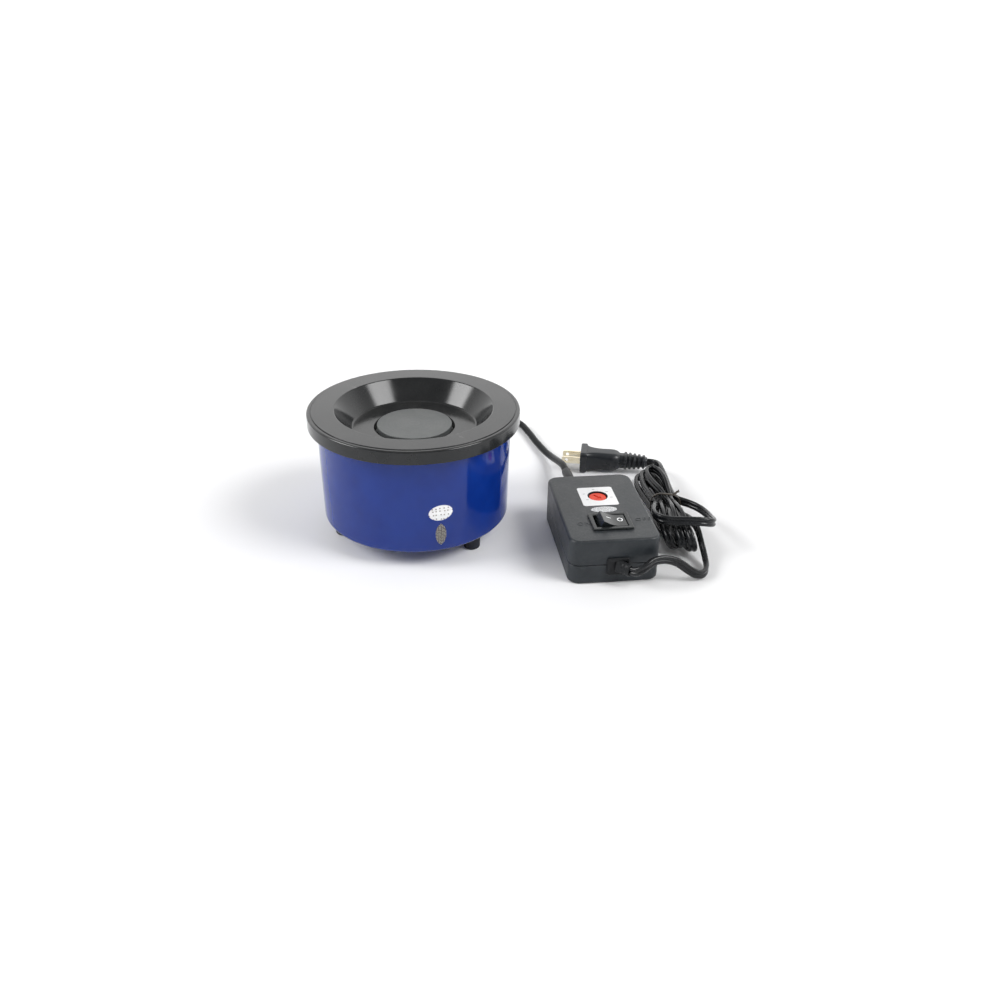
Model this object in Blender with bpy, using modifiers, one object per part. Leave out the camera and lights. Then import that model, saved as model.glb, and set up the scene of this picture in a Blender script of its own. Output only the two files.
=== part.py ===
"""A small electric pottery wheel: a round drum with a splash basin and a direct-drive wheel head,
and a control box on a lead, with a speed knob, a rocker switch and a mains lead tied in a hank.

Metres, +Z up. The floor is z = 0, and the origin is under the middle of the wheel and its box.
"""

import math

import bmesh
import bpy
from mathutils import Matrix, Vector

# Clearances
GAP = 0.0003             # between pieces that touch
RUNNING_GAP = 0.00015    # between the shaft and its bearings
AIR_GAP = 0.0005         # between the armature and the magnets

# Lid with the splash basin, turned about the wheel axis
LID_RADIUS = 0.0850
LID_TOP = 0.1050
LID_WALL = 0.0025
LID_SKIRT = 0.0112
LID_EDGE = 0.0022
SHOULDER_WIDTH = 0.0037
SHOULDER_STEP = 0.0005
RIM_WIDTH = 0.0215
BASIN_FLOOR_RADIUS = 0.0502
BASIN_DEPTH = 0.0168
WELL_CLEARANCE = 0.0021
WELL_DEPTH = 0.0062
HUB_HOLE_CLEARANCE = 0.0020
UPSTAND_WALL = 0.0018
UPSTAND_HEIGHT = 0.0026
SEAT_RING_WALL = 0.0020
SEAT_RING_DEPTH = 0.0065

# Drum
SKIRT_CLEARANCE = 0.0046
DRUM_TAPER = 0.0022
DRUM_WALL = 0.0015
DRUM_CORNER = 0.0040
DRUM_BOTTOM = 0.0130
VENT_COUNT = 6
VENT_LENGTH = 0.0180
VENT_WIDTH = 0.0035
VENT_CIRCLE = 0.0360

# Feet, pillars and their screws, on one circle
FOOT_COUNT = 3
FOOT_INSET = 0.0133
FOOT_START_ANGLE = math.radians(-40)
FOOT_RADIUS = 0.00665
FOOT_TOP_RADIUS = 0.0062
FOOT_SHOULDER = 0.0019
FOOT_SOLE_EDGE = 0.0015
FOOT_SOLE_RADIUS = 0.0060
FOOT_RECESS_DEPTH = 0.0045
PILLAR_RADIUS = 0.0043
M4_SHANK = 0.0020
M4_HEAD = 0.0037
M4_HEAD_HEIGHT = 0.0024
M4_LENGTH = 0.0110
M3_SHANK = 0.0015
M3_HEAD = 0.0028
M3_HEAD_HEIGHT = 0.0018
SCREW_CLEARANCE = 0.0003

# Motor and the plate that carries it
PLATE_BELOW_WELL = 0.0135
PLATE_THICKNESS = 0.0020
PLATE_RIM = 0.0066
PLATE_HOLE_RADIUS = 0.0130
PLATE_HOLE_CIRCLE = 0.0420
MOTOR_RADIUS = 0.0210
MOTOR_ABOVE_FLOOR = 0.0052
MOTOR_WALL = 0.0015
MOTOR_SCREW_CIRCLE = 0.0125
BEARING_RADIUS = 0.0055
BEARING_HEIGHT = 0.0040
BEARING_SEAT_WALL = 0.0012
END_CAP_HEIGHT = 0.0045
MAGNET_THICKNESS = 0.0028
MAGNET_SPAN = math.radians(140)
ARMATURE_POLES = 5
ARMATURE_ROOT_RADIUS = 0.0071
SHOE_THICKNESS = 0.0025
SHOE_SHARE = 0.76        # of the pitch between two poles
NECK_SHARE = 0.66
ROOT_SHARE = 0.84
ARMATURE_BELOW_TOP = 0.0100
ARMATURE_ABOVE_BOTTOM = 0.0140
WINDING_HEIGHT = 0.0040
WINDING_INNER = 0.0050
WINDING_OUTER = 0.0132
WINDING_EDGE = 0.0012
COMMUTATOR_RADIUS = 0.0048
COMMUTATOR_HEIGHT = 0.0045
BRUSH_LENGTH = 0.0070
BRUSH_WIDTH = 0.0040
BRUSH_HEIGHT = 0.0034
SHAFT_RADIUS = 0.0025

# Wheel head
HEAD_RADIUS = 0.0302
HEAD_PROUD = 0.0021
HEAD_THICKNESS = 0.0055
HEAD_EDGE = 0.0006
HUB_RADIUS = 0.0075
HUB_LENGTH = 0.0208
HUB_BORE_DEPTH = 0.0130
HUB_GROOVE_RADIUS = 0.0135
HUB_GROOVE_DEPTH = 0.0014
GRUB_RADIUS = 0.0015
GRUB_HEIGHT_IN_HUB = 0.0050

# Control box, in its own frame: x is its width, y its length
BOX_OFFSET = (0.1512, -0.0361)
BOX_TURN = math.radians(8.0)
BOX_WIDTH = 0.0705
BOX_LENGTH = 0.1094
BOX_HEIGHT = 0.0371
BOX_SEAM = 0.0160
BOX_WALL = 0.0022
BOX_CORNER = 0.0090
BOX_EDGE = 0.0016
POST_INSET = 0.0095
LOWER_POST_RADIUS = 0.0046
UPPER_POST_RADIUS = 0.0036
BOX_SCREW_RECESS = 0.0060
BOX_SCREW_SHANK = 0.0014
BOX_SCREW_HEAD = 0.0029
BOX_SCREW_HEAD_HEIGHT = 0.0022
BOX_SCREW_LENGTH = 0.0200

# Rocker switch, centred on the box's top
SWITCH_PLACE = (0.0012, -0.0273)
SWITCH_WIDTH = 0.0318
SWITCH_LENGTH = 0.0253
SWITCH_RISE = 0.0015
SWITCH_CORNER = 0.0010
SWITCH_EDGE = 0.0005
SWITCH_FLANGE = 0.0024
SWITCH_WALL = 0.0011
SWITCH_DEPTH = 0.0150
ROCKER_TILT = math.radians(14)
ROCKER_FACE_HEIGHT = 0.0068
ROCKER_SKIRT = 0.0015
ROCKER_BELLY = 0.0055
ROCKER_BELLY_HALF = 0.0065
ROCKER_CLEARANCE = 0.0005
ROCKER_SUNK = 0.0004

# Speed knob and the potentiometer below it
KNOB_PLACE = (0.0004, 0.0164)
KNOB_RADIUS = 0.0070
KNOB_EDGE = 0.00035
KNOB_CLEARANCE = 0.0010
KNOB_SUNK = 0.0008
KNOB_THICKNESS = 0.0030
KNOB_STEM_RADIUS = 0.0032
ARROW_LENGTH = 0.0084
ARROW_WIDTH = 0.0016
ARROW_HEAD = 0.0042
ARROW_HEAD_LENGTH = 0.0034
ARROW_DEPTH = 0.0007
ARROW_ANGLE = math.radians(-48)
POT_SIZE = (0.0170, 0.0170, 0.0080)
POT_BUSH_RADIUS = 0.0036
POT_BUSH_HEIGHT = 0.0022

# Circuit board and what stands on it
BOARD_SIDE_GAP = 0.0030
BOARD_POST_GAP = 0.0016
BOARD_THICKNESS = 0.0016
BOARD_HEIGHT = 0.0090
BOARD_CORNER = 0.0015
STANDOFF_RADIUS = 0.0024
STANDOFF_INSET = 0.0050
TRANSFORMER_WIDTH = 0.0230
TRANSFORMER_LENGTH = 0.0270
TRANSFORMER_BELOW_SWITCH = 0.0025
TRANSFORMER_EDGE = 0.0036
TRANSFORMER_Y = -0.0200
CAPACITOR_RADIUS = 0.0050
CAPACITOR_EDGE = 0.0050
CAPACITOR_Y = 0.0310
HEAT_SINK_WIDTH = 0.0080
HEAT_SINK_LENGTH = 0.0260
HEAT_SINK_EDGE = 0.0025
HEAT_SINK_BEHIND_SWITCH = 0.0020
HEAT_SINK_FINS = 5
BELOW_TOP_GAP = 0.0060

# Strain reliefs
DC_LEAD_RADIUS = 0.0030
MAINS_LEAD_RADIUS = 0.0037
RELIEF_FLANGE_RADIUS = 0.0072
RELIEF_FLANGE = 0.0015
RELIEF_NECK_RADIUS = 0.0050
RELIEF_ROOT_RADIUS = 0.0054
RELIEF_TIP_WALL = 0.0006
DRUM_RELIEF_ANGLE = math.radians(95)
DRUM_RELIEF_HEIGHT = 0.0260
DRUM_RELIEF_LENGTH = 0.0280
BOX_RELIEF_X = -0.0080
BOX_RELIEF_LENGTH = 0.0500
MAINS_RELIEF_X = 0.0020
MAINS_RELIEF_Z = 0.0148
MAINS_RELIEF_PLATE = (0.0200, 0.0155)
MAINS_RELIEF_NECK = (0.0160, 0.0128)
MAINS_RELIEF_LENGTH = 0.0110
NOSE_ROOT_RADIUS = 0.0058
NOSE_WALL = 0.0005
NOSE_FLATNESS = 0.8
MAINS_RELIEF_TURN = math.radians(45)
MAINS_RELIEF_DROOP = math.radians(2)

# Plug, in its own frame: the cord's end is its origin, and the blades point along -x
PLUG_PLACE = (0.2060, 0.1000)
PLUG_TURN = math.radians(-7.0)
PLUG_AXIS_HEIGHT = 0.0103
PLUG_FLANGE = (0.0060, 0.0260, 0.0200)
PLUG_BODY = (0.0330, 0.0210, 0.0170)
PLUG_NECK_WIDTH = 0.0125
PLUG_RELIEF_LENGTH = 0.0230
PLUG_RELIEF_RADIUS = 0.0056
BLADE_SIZE = (0.0170, 0.0015, 0.00635)
BLADE_SPACING = 0.0127
BLADE_CHAMFER = 0.0013
BLADE_HOLE_RADIUS = 0.0016
BLADE_HOLE_FROM_TIP = 0.0045

# Hank of the mains lead and its tie; places are from the wheel axis, on the floor
HANK_FRONT = (0.2175, -0.0300)
HANK_WAIST = (0.2105, 0.0150)
HANK_BACK = (0.2030, 0.0640)
HANK_FRONT_RADIUS = 0.0250
HANK_WAIST_HALF = 0.0120
HANK_BACK_RADIUS = 0.0160
HANK_LOW = 0.0020
HANK_HIGH = 0.0330
TIE_THICKNESS = 0.0012
TIE_WIDTH = 0.0030
TIE_CORNER = 0.0010

# Routes of the leads' centrelines, from the wheel axis on the floor
DC_ROUTE = [
    (-0.0091, 0.1040, 0.0260),
    (-0.0101, 0.1150, 0.0254),
    (-0.0105, 0.1320, 0.0190),
    (-0.0050, 0.1540, 0.0090),
    (0.0080, 0.1770, 0.0040),
    (0.0270, 0.1990, 0.0033),
    (0.0500, 0.2130, 0.0033),
    (0.0720, 0.2130, 0.0033),
    (0.0870, 0.2020, 0.0033),
    (0.0960, 0.1800, 0.0035),
    (0.1040, 0.1540, 0.0040),
    (0.1120, 0.1300, 0.0052),
    (0.1180, 0.1130, 0.0076),
    (0.1226, 0.0970, 0.0114),
    (0.1265, 0.0810, 0.0150),
    (0.1286, 0.0669, 0.0160),
]
MAINS_ROUTE = [
    (0.1711, -0.0978, 0.0144),
    (0.1731, -0.0993, 0.0146),
    (0.1758, -0.1004, 0.0166),
    (0.1812, -0.0988, 0.0194),
    (0.1860, -0.0948, 0.0217),
    (0.1912, -0.0925, 0.0221),
    (0.1968, -0.0905, 0.0213),
    (0.2023, -0.0890, 0.0195),
    (0.2079, -0.0880, 0.0164),
    (0.2153, -0.0873, 0.0104),
    (0.2225, -0.0860, 0.0056),
    (0.2280, -0.0828, 0.0040),
    (0.2313, -0.0765, 0.0040),
    (0.2326, -0.0690, 0.0046),
    (0.2325, -0.0615, 0.0068),
    (0.2318, -0.0555, 0.0098),
]
TAIL_ROUTE = [
    (0.2072, 0.0998, 0.0103),
    (0.2108, 0.0993, 0.0104),
    (0.2144, 0.0960, 0.0109),
    (0.2162, 0.0905, 0.0118),
    (0.2164, 0.0825, 0.0130),
]

# Facets
FINE_STEPS = 40
ROUND_STEPS = 24
SMALL_STEPS = 12


# ---------------------------------------------------------------- sizes that follow from the above


def box_half_extents():
    """Half the box's reach along world x and y, with its round corners and its turn."""
    turn_cos, turn_sin = math.cos(BOX_TURN), math.sin(BOX_TURN)
    straight_x = BOX_WIDTH / 2 - BOX_CORNER
    straight_y = BOX_LENGTH / 2 - BOX_CORNER
    half_x = turn_cos * straight_x + turn_sin * straight_y + BOX_CORNER
    half_y = turn_sin * straight_x + turn_cos * straight_y + BOX_CORNER
    return half_x, half_y


def wheel_axis():
    """Where the wheel axis stands, so that the middle of the footprint is the origin."""
    half_x, half_y = box_half_extents()
    x_high = max(LID_RADIUS, BOX_OFFSET[0] + half_x)
    x_low = min(-LID_RADIUS, BOX_OFFSET[0] - half_x)
    y_high = max(LID_RADIUS, BOX_OFFSET[1] + half_y)
    y_low = min(-LID_RADIUS, BOX_OFFSET[1] - half_y)
    return Vector((-(x_low + x_high) / 2, -(y_low + y_high) / 2, 0))


WHEEL_AXIS = wheel_axis()
BASIN_MOUTH_RADIUS = LID_RADIUS - RIM_WIDTH
DRUM_TOP_RADIUS = LID_RADIUS - LID_WALL - SKIRT_CLEARANCE
DRUM_BOTTOM_RADIUS = DRUM_TOP_RADIUS - DRUM_TAPER
FOOT_CIRCLE = DRUM_BOTTOM_RADIUS - FOOT_INSET
PLATE_RADIUS = FOOT_CIRCLE + PLATE_RIM
BASIN_FLOOR = LID_TOP - BASIN_DEPTH
WELL_RADIUS = HEAD_RADIUS + WELL_CLEARANCE
WELL_FLOOR = BASIN_FLOOR - WELL_DEPTH
HUB_HOLE_RADIUS = HUB_RADIUS + HUB_HOLE_CLEARANCE
HEAD_TOP = BASIN_FLOOR + HEAD_PROUD
HUB_BOTTOM = HEAD_TOP - HUB_LENGTH
DRUM_TOP = LID_TOP - LID_WALL - GAP
DRUM_FLOOR = DRUM_BOTTOM + DRUM_WALL
PLATE_TOP = WELL_FLOOR - LID_WALL - PLATE_BELOW_WELL
PLATE_UNDERSIDE = PLATE_TOP - PLATE_THICKNESS
MOTOR_TOP = PLATE_UNDERSIDE - GAP
MOTOR_BOTTOM = DRUM_FLOOR + MOTOR_ABOVE_FLOOR
BEARING_SEAT = BEARING_RADIUS + GAP
ARMATURE_LOW = MOTOR_BOTTOM + ARMATURE_ABOVE_BOTTOM
ARMATURE_HIGH = MOTOR_TOP - ARMATURE_BELOW_TOP
MAGNET_OUTER = MOTOR_RADIUS - MOTOR_WALL - GAP
MAGNET_INNER = MAGNET_OUTER - MAGNET_THICKNESS
ARMATURE_RADIUS = MAGNET_INNER - AIR_GAP
KNOB_TOP = BOX_HEIGHT - KNOB_SUNK
SWITCH_TOP = BOX_HEIGHT + GAP + SWITCH_RISE
SWITCH_BOTTOM = SWITCH_TOP - SWITCH_DEPTH
ROCKER_PIVOT = SWITCH_TOP - ROCKER_SUNK - ROCKER_FACE_HEIGHT
BOARD_WIDTH = BOX_WIDTH - 2 * (BOX_WALL + BOARD_SIDE_GAP)
BOARD_LENGTH = BOX_LENGTH - 2 * (POST_INSET + LOWER_POST_RADIUS + BOARD_POST_GAP)
BOARD_TOP = BOARD_HEIGHT + BOARD_THICKNESS


def drum_radius(z):
    """The drum's outer radius at a height, since its side tapers a little."""
    share = (z - DRUM_BOTTOM) / (DRUM_TOP - DRUM_BOTTOM)
    return DRUM_BOTTOM_RADIUS + (DRUM_TOP_RADIUS - DRUM_BOTTOM_RADIUS) * share


# ---------------------------------------------------------------- scene, materials and helpers


def clear_scene():
    for obj in list(bpy.data.objects):
        bpy.data.objects.remove(obj)


def new_collection(name, hidden=False):
    collection = bpy.data.collections.new(name)
    collection.hide_render = hidden
    bpy.context.scene.collection.children.link(collection)
    return collection


def new_material(name, colour, roughness, metallic=0.0):
    material = bpy.data.materials.new(name)
    material.use_nodes = True
    shader = material.node_tree.nodes["Principled BSDF"]
    shader.inputs["Base Color"].default_value = (*colour, 1)
    shader.inputs["Roughness"].default_value = roughness
    shader.inputs["Metallic"].default_value = metallic
    material.diffuse_color = (*colour, 1)
    return material


clear_scene()
PARTS = new_collection("pottery_wheel")
CUTTERS = new_collection("cutters", hidden=True)

BLUE_ENAMEL = new_material("blue_enamel", (0.035, 0.09, 0.42), 0.22)
BLACK_PLASTIC = new_material("black_plastic", (0.035, 0.037, 0.038), 0.35)
GREY_ABS = new_material("grey_abs", (0.045, 0.047, 0.052), 0.55)
RED_PLASTIC = new_material("red_plastic", (0.75, 0.06, 0.02), 0.35)
GLOSSY_BLACK = new_material("glossy_black", (0.012, 0.012, 0.013), 0.2)
RUBBER = new_material("rubber", (0.02, 0.022, 0.03), 0.7)
CORD_PVC = new_material("cord_pvc", (0.018, 0.018, 0.02), 0.4)
SATIN_METAL = new_material("satin_metal", (0.16, 0.17, 0.17), 0.4, 0.6)
ZINC = new_material("zinc", (0.62, 0.63, 0.64), 0.35, 1.0)
STEEL = new_material("steel", (0.55, 0.55, 0.56), 0.25, 1.0)
BRASS = new_material("brass", (0.78, 0.62, 0.32), 0.3, 1.0)
COPPER = new_material("copper", (0.72, 0.32, 0.16), 0.35, 1.0)
FERRITE = new_material("ferrite", (0.08, 0.08, 0.085), 0.6)
BOARD_GREEN = new_material("board_green", (0.02, 0.18, 0.07), 0.45)


def add_to_scene(name, mesh, material, collection=None):
    obj = bpy.data.objects.new(name, mesh)
    (collection or PARTS).objects.link(obj)
    mesh.materials.clear()
    if material:
        mesh.materials.append(material)
    return obj


def smooth(obj):
    obj.data.shade_smooth()
    obj.data.set_sharp_from_angle(angle=math.radians(35))


def place(obj, parent, location=(0, 0, 0), rotation=(0, 0, 0)):
    obj.parent = parent
    obj.location = location
    obj.rotation_euler = rotation
    return obj


def new_empty(name, location, rotation=(0, 0, 0), parent=None):
    empty = bpy.data.objects.new(name, None)
    PARTS.objects.link(empty)
    empty.empty_display_size = 0.02
    return place(empty, parent, location, rotation)


def as_cutter(obj):
    for collection in list(obj.users_collection):
        collection.objects.unlink(obj)
    CUTTERS.objects.link(obj)
    obj.hide_render = True
    obj.display_type = "WIRE"
    return obj


def boolean(obj, other, operation="DIFFERENCE"):
    """Cuts obj with other, or joins other to it; other stands in obj's own frame."""
    as_cutter(other)
    other.parent = obj
    modifier = obj.modifiers.new(other.name, "BOOLEAN")
    modifier.operation = operation
    modifier.solver = "EXACT"
    modifier.object = other
    return modifier


def turned(name, profile, material, steps=ROUND_STEPS, closed=False):
    """A profile of (radius, z) points turned about z; it runs down its outer side."""
    mesh = bpy.data.meshes.new(name)
    edges = [(i, i + 1) for i in range(len(profile) - 1)]
    if closed:
        edges.append((len(profile) - 1, 0))
    mesh.from_pydata([(radius, 0, z) for radius, z in profile], edges, [])
    obj = add_to_scene(name, mesh, material)
    screw = obj.modifiers.new("turn", "SCREW")
    screw.steps = steps
    screw.render_steps = steps
    screw.use_merge_vertices = True
    screw.merge_threshold = 0.00001
    screw.use_smooth_shade = True
    return obj


def cylinder(name, radius, low, high, material=None, steps=SMALL_STEPS, top_radius=None):
    """A cylinder or a cone about z, from one height to another."""
    mesh = bpy.data.meshes.new(name)
    form = bmesh.new()
    bmesh.ops.create_cone(
        form, cap_ends=True, segments=steps, radius1=radius,
        radius2=radius if top_radius is None else top_radius, depth=high - low,
        matrix=Matrix.Translation((0, 0, (low + high) / 2)),
    )
    form.to_mesh(mesh)
    form.free()
    obj = add_to_scene(name, mesh, material)
    smooth(obj)
    return obj


def block(name, size, centre, material=None):
    mesh = bpy.data.meshes.new(name)
    form = bmesh.new()
    bmesh.ops.create_cube(
        form, size=1, matrix=Matrix.Translation(centre) @ Matrix.Diagonal((*size, 1))
    )
    form.to_mesh(mesh)
    form.free()
    return add_to_scene(name, mesh, material)


def plate(name, outlines, low, high, material=None):
    """A flat outline with holes, as a filled curve with a thickness, made a mesh."""
    curve = bpy.data.curves.new(name, "CURVE")
    curve.dimensions = "2D"
    curve.fill_mode = "BOTH"
    curve.extrude = (high - low) / 2
    for outline in outlines:
        spline = curve.splines.new("POLY")
        spline.points.add(len(outline) - 1)
        for point, (x, y) in zip(spline.points, outline):
            point.co = (x, y, 0, 1)
        spline.use_cyclic_u = True
    flat = bpy.data.objects.new(name + "_curve", curve)
    PARTS.objects.link(flat)
    bpy.context.view_layer.update()
    graph = bpy.context.evaluated_depsgraph_get()
    mesh = bpy.data.meshes.new_from_object(flat.evaluated_get(graph))
    bpy.data.objects.remove(flat)
    form = bmesh.new()
    form.from_mesh(mesh)
    bmesh.ops.remove_doubles(form, verts=form.verts, dist=0.000001)
    bmesh.ops.translate(form, verts=form.verts, vec=(0, 0, (low + high) / 2))
    bmesh.ops.dissolve_limit(form, angle_limit=0.001, verts=form.verts, edges=form.edges)
    form.to_mesh(mesh)
    form.free()
    mesh.name = name
    return add_to_scene(name, mesh, material)


def several(name, solids):
    """Separate solids in one mesh, for a cutter that acts in several places."""
    form = bmesh.new()
    for solid in solids:
        solid.data.transform(solid.matrix_basis)
        form.from_mesh(solid.data)
        bpy.data.objects.remove(solid)
    mesh = bpy.data.meshes.new(name)
    form.to_mesh(mesh)
    form.free()
    return add_to_scene(name, mesh, None)


def circle(radius, centre=(0, 0), steps=SMALL_STEPS):
    turns = [2 * math.pi * i / steps for i in range(steps)]
    return [
        (centre[0] + radius * math.cos(turn), centre[1] + radius * math.sin(turn))
        for turn in turns
    ]


def arc(radius, start, end, steps):
    turns = [start + (end - start) * i / steps for i in range(steps + 1)]
    return [(radius * math.cos(turn), radius * math.sin(turn)) for turn in turns]


def round_rectangle(width, length, corner, steps=5):
    """A rectangle with round corners about the origin, anticlockwise."""
    points = []
    for quarter, (side_x, side_y) in enumerate(((1, 1), (-1, 1), (-1, -1), (1, -1))):
        start = quarter * math.pi / 2
        for x, y in arc(corner, start, start + math.pi / 2, steps):
            points.append(
                (side_x * (width / 2 - corner) + x, side_y * (length / 2 - corner) + y)
            )
    return points


def on_circle(radius, angle):
    return radius * math.cos(angle), radius * math.sin(angle)


def smooth_route(route, spacing):
    """Points along a smooth curve through the route's own points, evenly spaced."""
    points = [Vector(point) for point in route]
    points = [2 * points[0] - points[1]] + points + [2 * points[-1] - points[-2]]
    fine = []
    for a, b, c, d in zip(points, points[1:], points[2:], points[3:]):
        for i in range(16):
            t = i / 16
            fine.append(
                0.5 * (2 * b + (c - a) * t + (2 * a - 5 * b + 4 * c - d) * t * t
                       + (3 * b - a - 3 * c + d) * t * t * t)
            )
    fine.append(points[-2])
    length = sum((b - a).length for a, b in zip(fine, fine[1:]))
    count = max(2, round(length / spacing))
    picked, walked, target = [fine[0]], 0.0, length / count
    for a, b in zip(fine, fine[1:]):
        step = (b - a).length
        while walked + step >= target and len(picked) < count:
            picked.append(a.lerp(b, (target - walked) / step))
            target += length / count
        walked += step
    return picked + [fine[-1]]


def lead(name, route, radius, resolution):
    """A lead as a tube along its route."""
    points = smooth_route(route, 2.2 * radius)
    curve = bpy.data.curves.new(name, "CURVE")
    curve.dimensions = "3D"
    curve.bevel_depth = radius
    curve.bevel_resolution = resolution
    curve.use_fill_caps = True
    curve.materials.append(CORD_PVC)
    spline = curve.splines.new("POLY")
    spline.points.add(len(points) - 1)
    for target, point in zip(spline.points, points):
        target.co = (*point, 1)
    obj = bpy.data.objects.new(name, curve)
    PARTS.objects.link(obj)
    return obj


def screw(name, shank, head, head_height, length, material=ZINC):
    """A pan-head screw: its head sits on z = 0 and its shank runs down."""
    dome = 0.3 * head_height
    profile = [
        (0, head_height), (0.6 * head, head_height), (head, head_height - dome), (head, 0),
        (shank, 0), (shank, -length + 0.5 * shank), (0.5 * shank, -length), (0, -length),
    ]
    obj = turned(name, profile, material, SMALL_STEPS)
    slot = block(name + "_slot", (1.5 * head, 0.22 * head, head_height),
                 (0, 0, head_height))
    boolean(obj, slot)
    return obj


# ---------------------------------------------------------------- wheel unit


def make_lid(unit):
    """The splash basin: a skirt, a flat top, a conical wall and a well for the wheel head."""
    plateau = LID_TOP
    shoulder = LID_TOP - SHOULDER_STEP
    under = LID_TOP - LID_WALL
    inner = LID_RADIUS - LID_WALL
    skirt_bottom = LID_TOP - LID_SKIRT
    ring_outer = drum_radius(LID_TOP - LID_WALL - SEAT_RING_DEPTH) - DRUM_WALL - GAP
    ring_inner = ring_outer - SEAT_RING_WALL
    ring_bottom = under - SEAT_RING_DEPTH
    run = BASIN_MOUTH_RADIUS - BASIN_FLOOR_RADIUS
    shift = LID_WALL * math.hypot(run, BASIN_DEPTH) / BASIN_DEPTH
    back = LID_WALL * run / BASIN_DEPTH
    upstand = HUB_HOLE_RADIUS + UPSTAND_WALL
    edge = [
        (LID_RADIUS - LID_EDGE + x, shoulder - LID_EDGE + z)
        for x, z in reversed(arc(LID_EDGE, 0, math.pi / 2, 3))
    ]
    profile = edge + [
        (LID_RADIUS, skirt_bottom),
        (inner, skirt_bottom),
        (inner, under),
        (ring_outer, under),
        (ring_outer, ring_bottom),
        (ring_inner, ring_bottom),
        (ring_inner, under),
        (BASIN_MOUTH_RADIUS + shift - back, under),
        (BASIN_FLOOR_RADIUS + shift - back, BASIN_FLOOR - LID_WALL),
        (WELL_RADIUS + LID_WALL, BASIN_FLOOR - LID_WALL),
        (WELL_RADIUS + LID_WALL, WELL_FLOOR - LID_WALL),
        (HUB_HOLE_RADIUS, WELL_FLOOR - LID_WALL),
        (HUB_HOLE_RADIUS, WELL_FLOOR + UPSTAND_HEIGHT),
        (upstand, WELL_FLOOR + UPSTAND_HEIGHT),
        (upstand, WELL_FLOOR),
        (WELL_RADIUS, WELL_FLOOR),
        (WELL_RADIUS, BASIN_FLOOR),
        (BASIN_FLOOR_RADIUS, BASIN_FLOOR),
        (BASIN_MOUTH_RADIUS, plateau),
        (LID_RADIUS - SHOULDER_WIDTH, plateau),
        (LID_RADIUS - SHOULDER_WIDTH, shoulder),
    ]
    lid = turned("basin_lid", profile, BLACK_PLASTIC, FINE_STEPS, closed=True)
    place(lid, unit)


def make_drum(unit):
    """The blue can: a side that tapers, a round bottom edge and a floor with vents."""
    low = DRUM_BOTTOM
    corner = [
        (DRUM_BOTTOM_RADIUS - DRUM_CORNER + x, low + DRUM_CORNER + z)
        for x, z in reversed(arc(DRUM_CORNER, -math.pi / 2, 0, 4))
    ]
    inside = DRUM_CORNER - DRUM_WALL
    inner_corner = [
        (DRUM_BOTTOM_RADIUS - DRUM_CORNER + x, low + DRUM_CORNER + z)
        for x, z in arc(inside, -math.pi / 2, 0, 4)
    ]
    profile = [(0, DRUM_FLOOR)] + inner_corner
    profile += [(DRUM_TOP_RADIUS - DRUM_WALL, DRUM_TOP), (DRUM_TOP_RADIUS, DRUM_TOP)]
    profile += corner + [(0, low)]
    drum = turned("drum_housing", profile, BLUE_ENAMEL, FINE_STEPS)
    cuts = [foot_hole("drum", turn) for turn in foot_angles()]
    for i in range(VENT_COUNT):
        turn = 2 * math.pi * i / VENT_COUNT
        slot = plate("vent", [round_rectangle(VENT_LENGTH, VENT_WIDTH, VENT_WIDTH / 2.01, 3)],
                     low - DRUM_WALL, DRUM_FLOOR + DRUM_WALL)
        slot.data.transform(Matrix.Rotation(turn, 4, "Z") @ Matrix.Translation((VENT_CIRCLE, 0, 0)))
        cuts.append(slot)
    boolean(drum, several("drum_floor_holes", cuts))
    port = cylinder("drum_lead_port", RELIEF_NECK_RADIUS + GAP, -4 * DRUM_WALL, 4 * DRUM_WALL)
    port.location, port.rotation_euler = drum_relief_place()
    boolean(drum, port)
    place(drum, unit)


def foot_angles():
    return [FOOT_START_ANGLE + 2 * math.pi * i / FOOT_COUNT for i in range(FOOT_COUNT)]


def foot_hole(owner, turn):
    """A clearance hole for a foot's or a pillar's screw, from the floor to the plate's top."""
    hole = cylinder(owner + "_screw_hole", M4_SHANK + SCREW_CLEARANCE, 0,
                    PLATE_TOP + DRUM_WALL)
    hole.data.transform(Matrix.Translation((*on_circle(FOOT_CIRCLE, turn), 0)))
    return hole


def drum_relief_place():
    """The drum's strain relief: its own z points outwards, and its z = 0 is the drum's side."""
    radius = drum_radius(DRUM_RELIEF_HEIGHT)
    x, y = on_circle(radius, DRUM_RELIEF_ANGLE)
    return (x, y, DRUM_RELIEF_HEIGHT), (0, math.pi / 2, DRUM_RELIEF_ANGLE)


def relief_profile(wall, length, flat_gap):
    """A turned strain relief: a flange inside the wall, a neck, a flange outside and a taper."""
    tip = DC_LEAD_RADIUS + RELIEF_TIP_WALL
    root = RELIEF_ROOT_RADIUS
    inside = -wall - flat_gap
    return [
        (0, length), (tip, length), (root, flat_gap + RELIEF_FLANGE),
        (RELIEF_FLANGE_RADIUS, flat_gap + RELIEF_FLANGE), (RELIEF_FLANGE_RADIUS, flat_gap),
        (RELIEF_NECK_RADIUS, flat_gap), (RELIEF_NECK_RADIUS, inside),
        (RELIEF_FLANGE_RADIUS, inside), (RELIEF_FLANGE_RADIUS, inside - RELIEF_FLANGE),
        (0, inside - RELIEF_FLANGE),
    ]


def make_drum_relief(unit):
    bulge = RELIEF_FLANGE_RADIUS ** 2 / (2 * DRUM_BOTTOM_RADIUS)
    relief = turned("drum_strain_relief",
                    relief_profile(DRUM_WALL, DRUM_RELIEF_LENGTH, GAP + 2 * bulge),
                    RUBBER, 24)
    place(relief, unit, *drum_relief_place())


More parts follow.
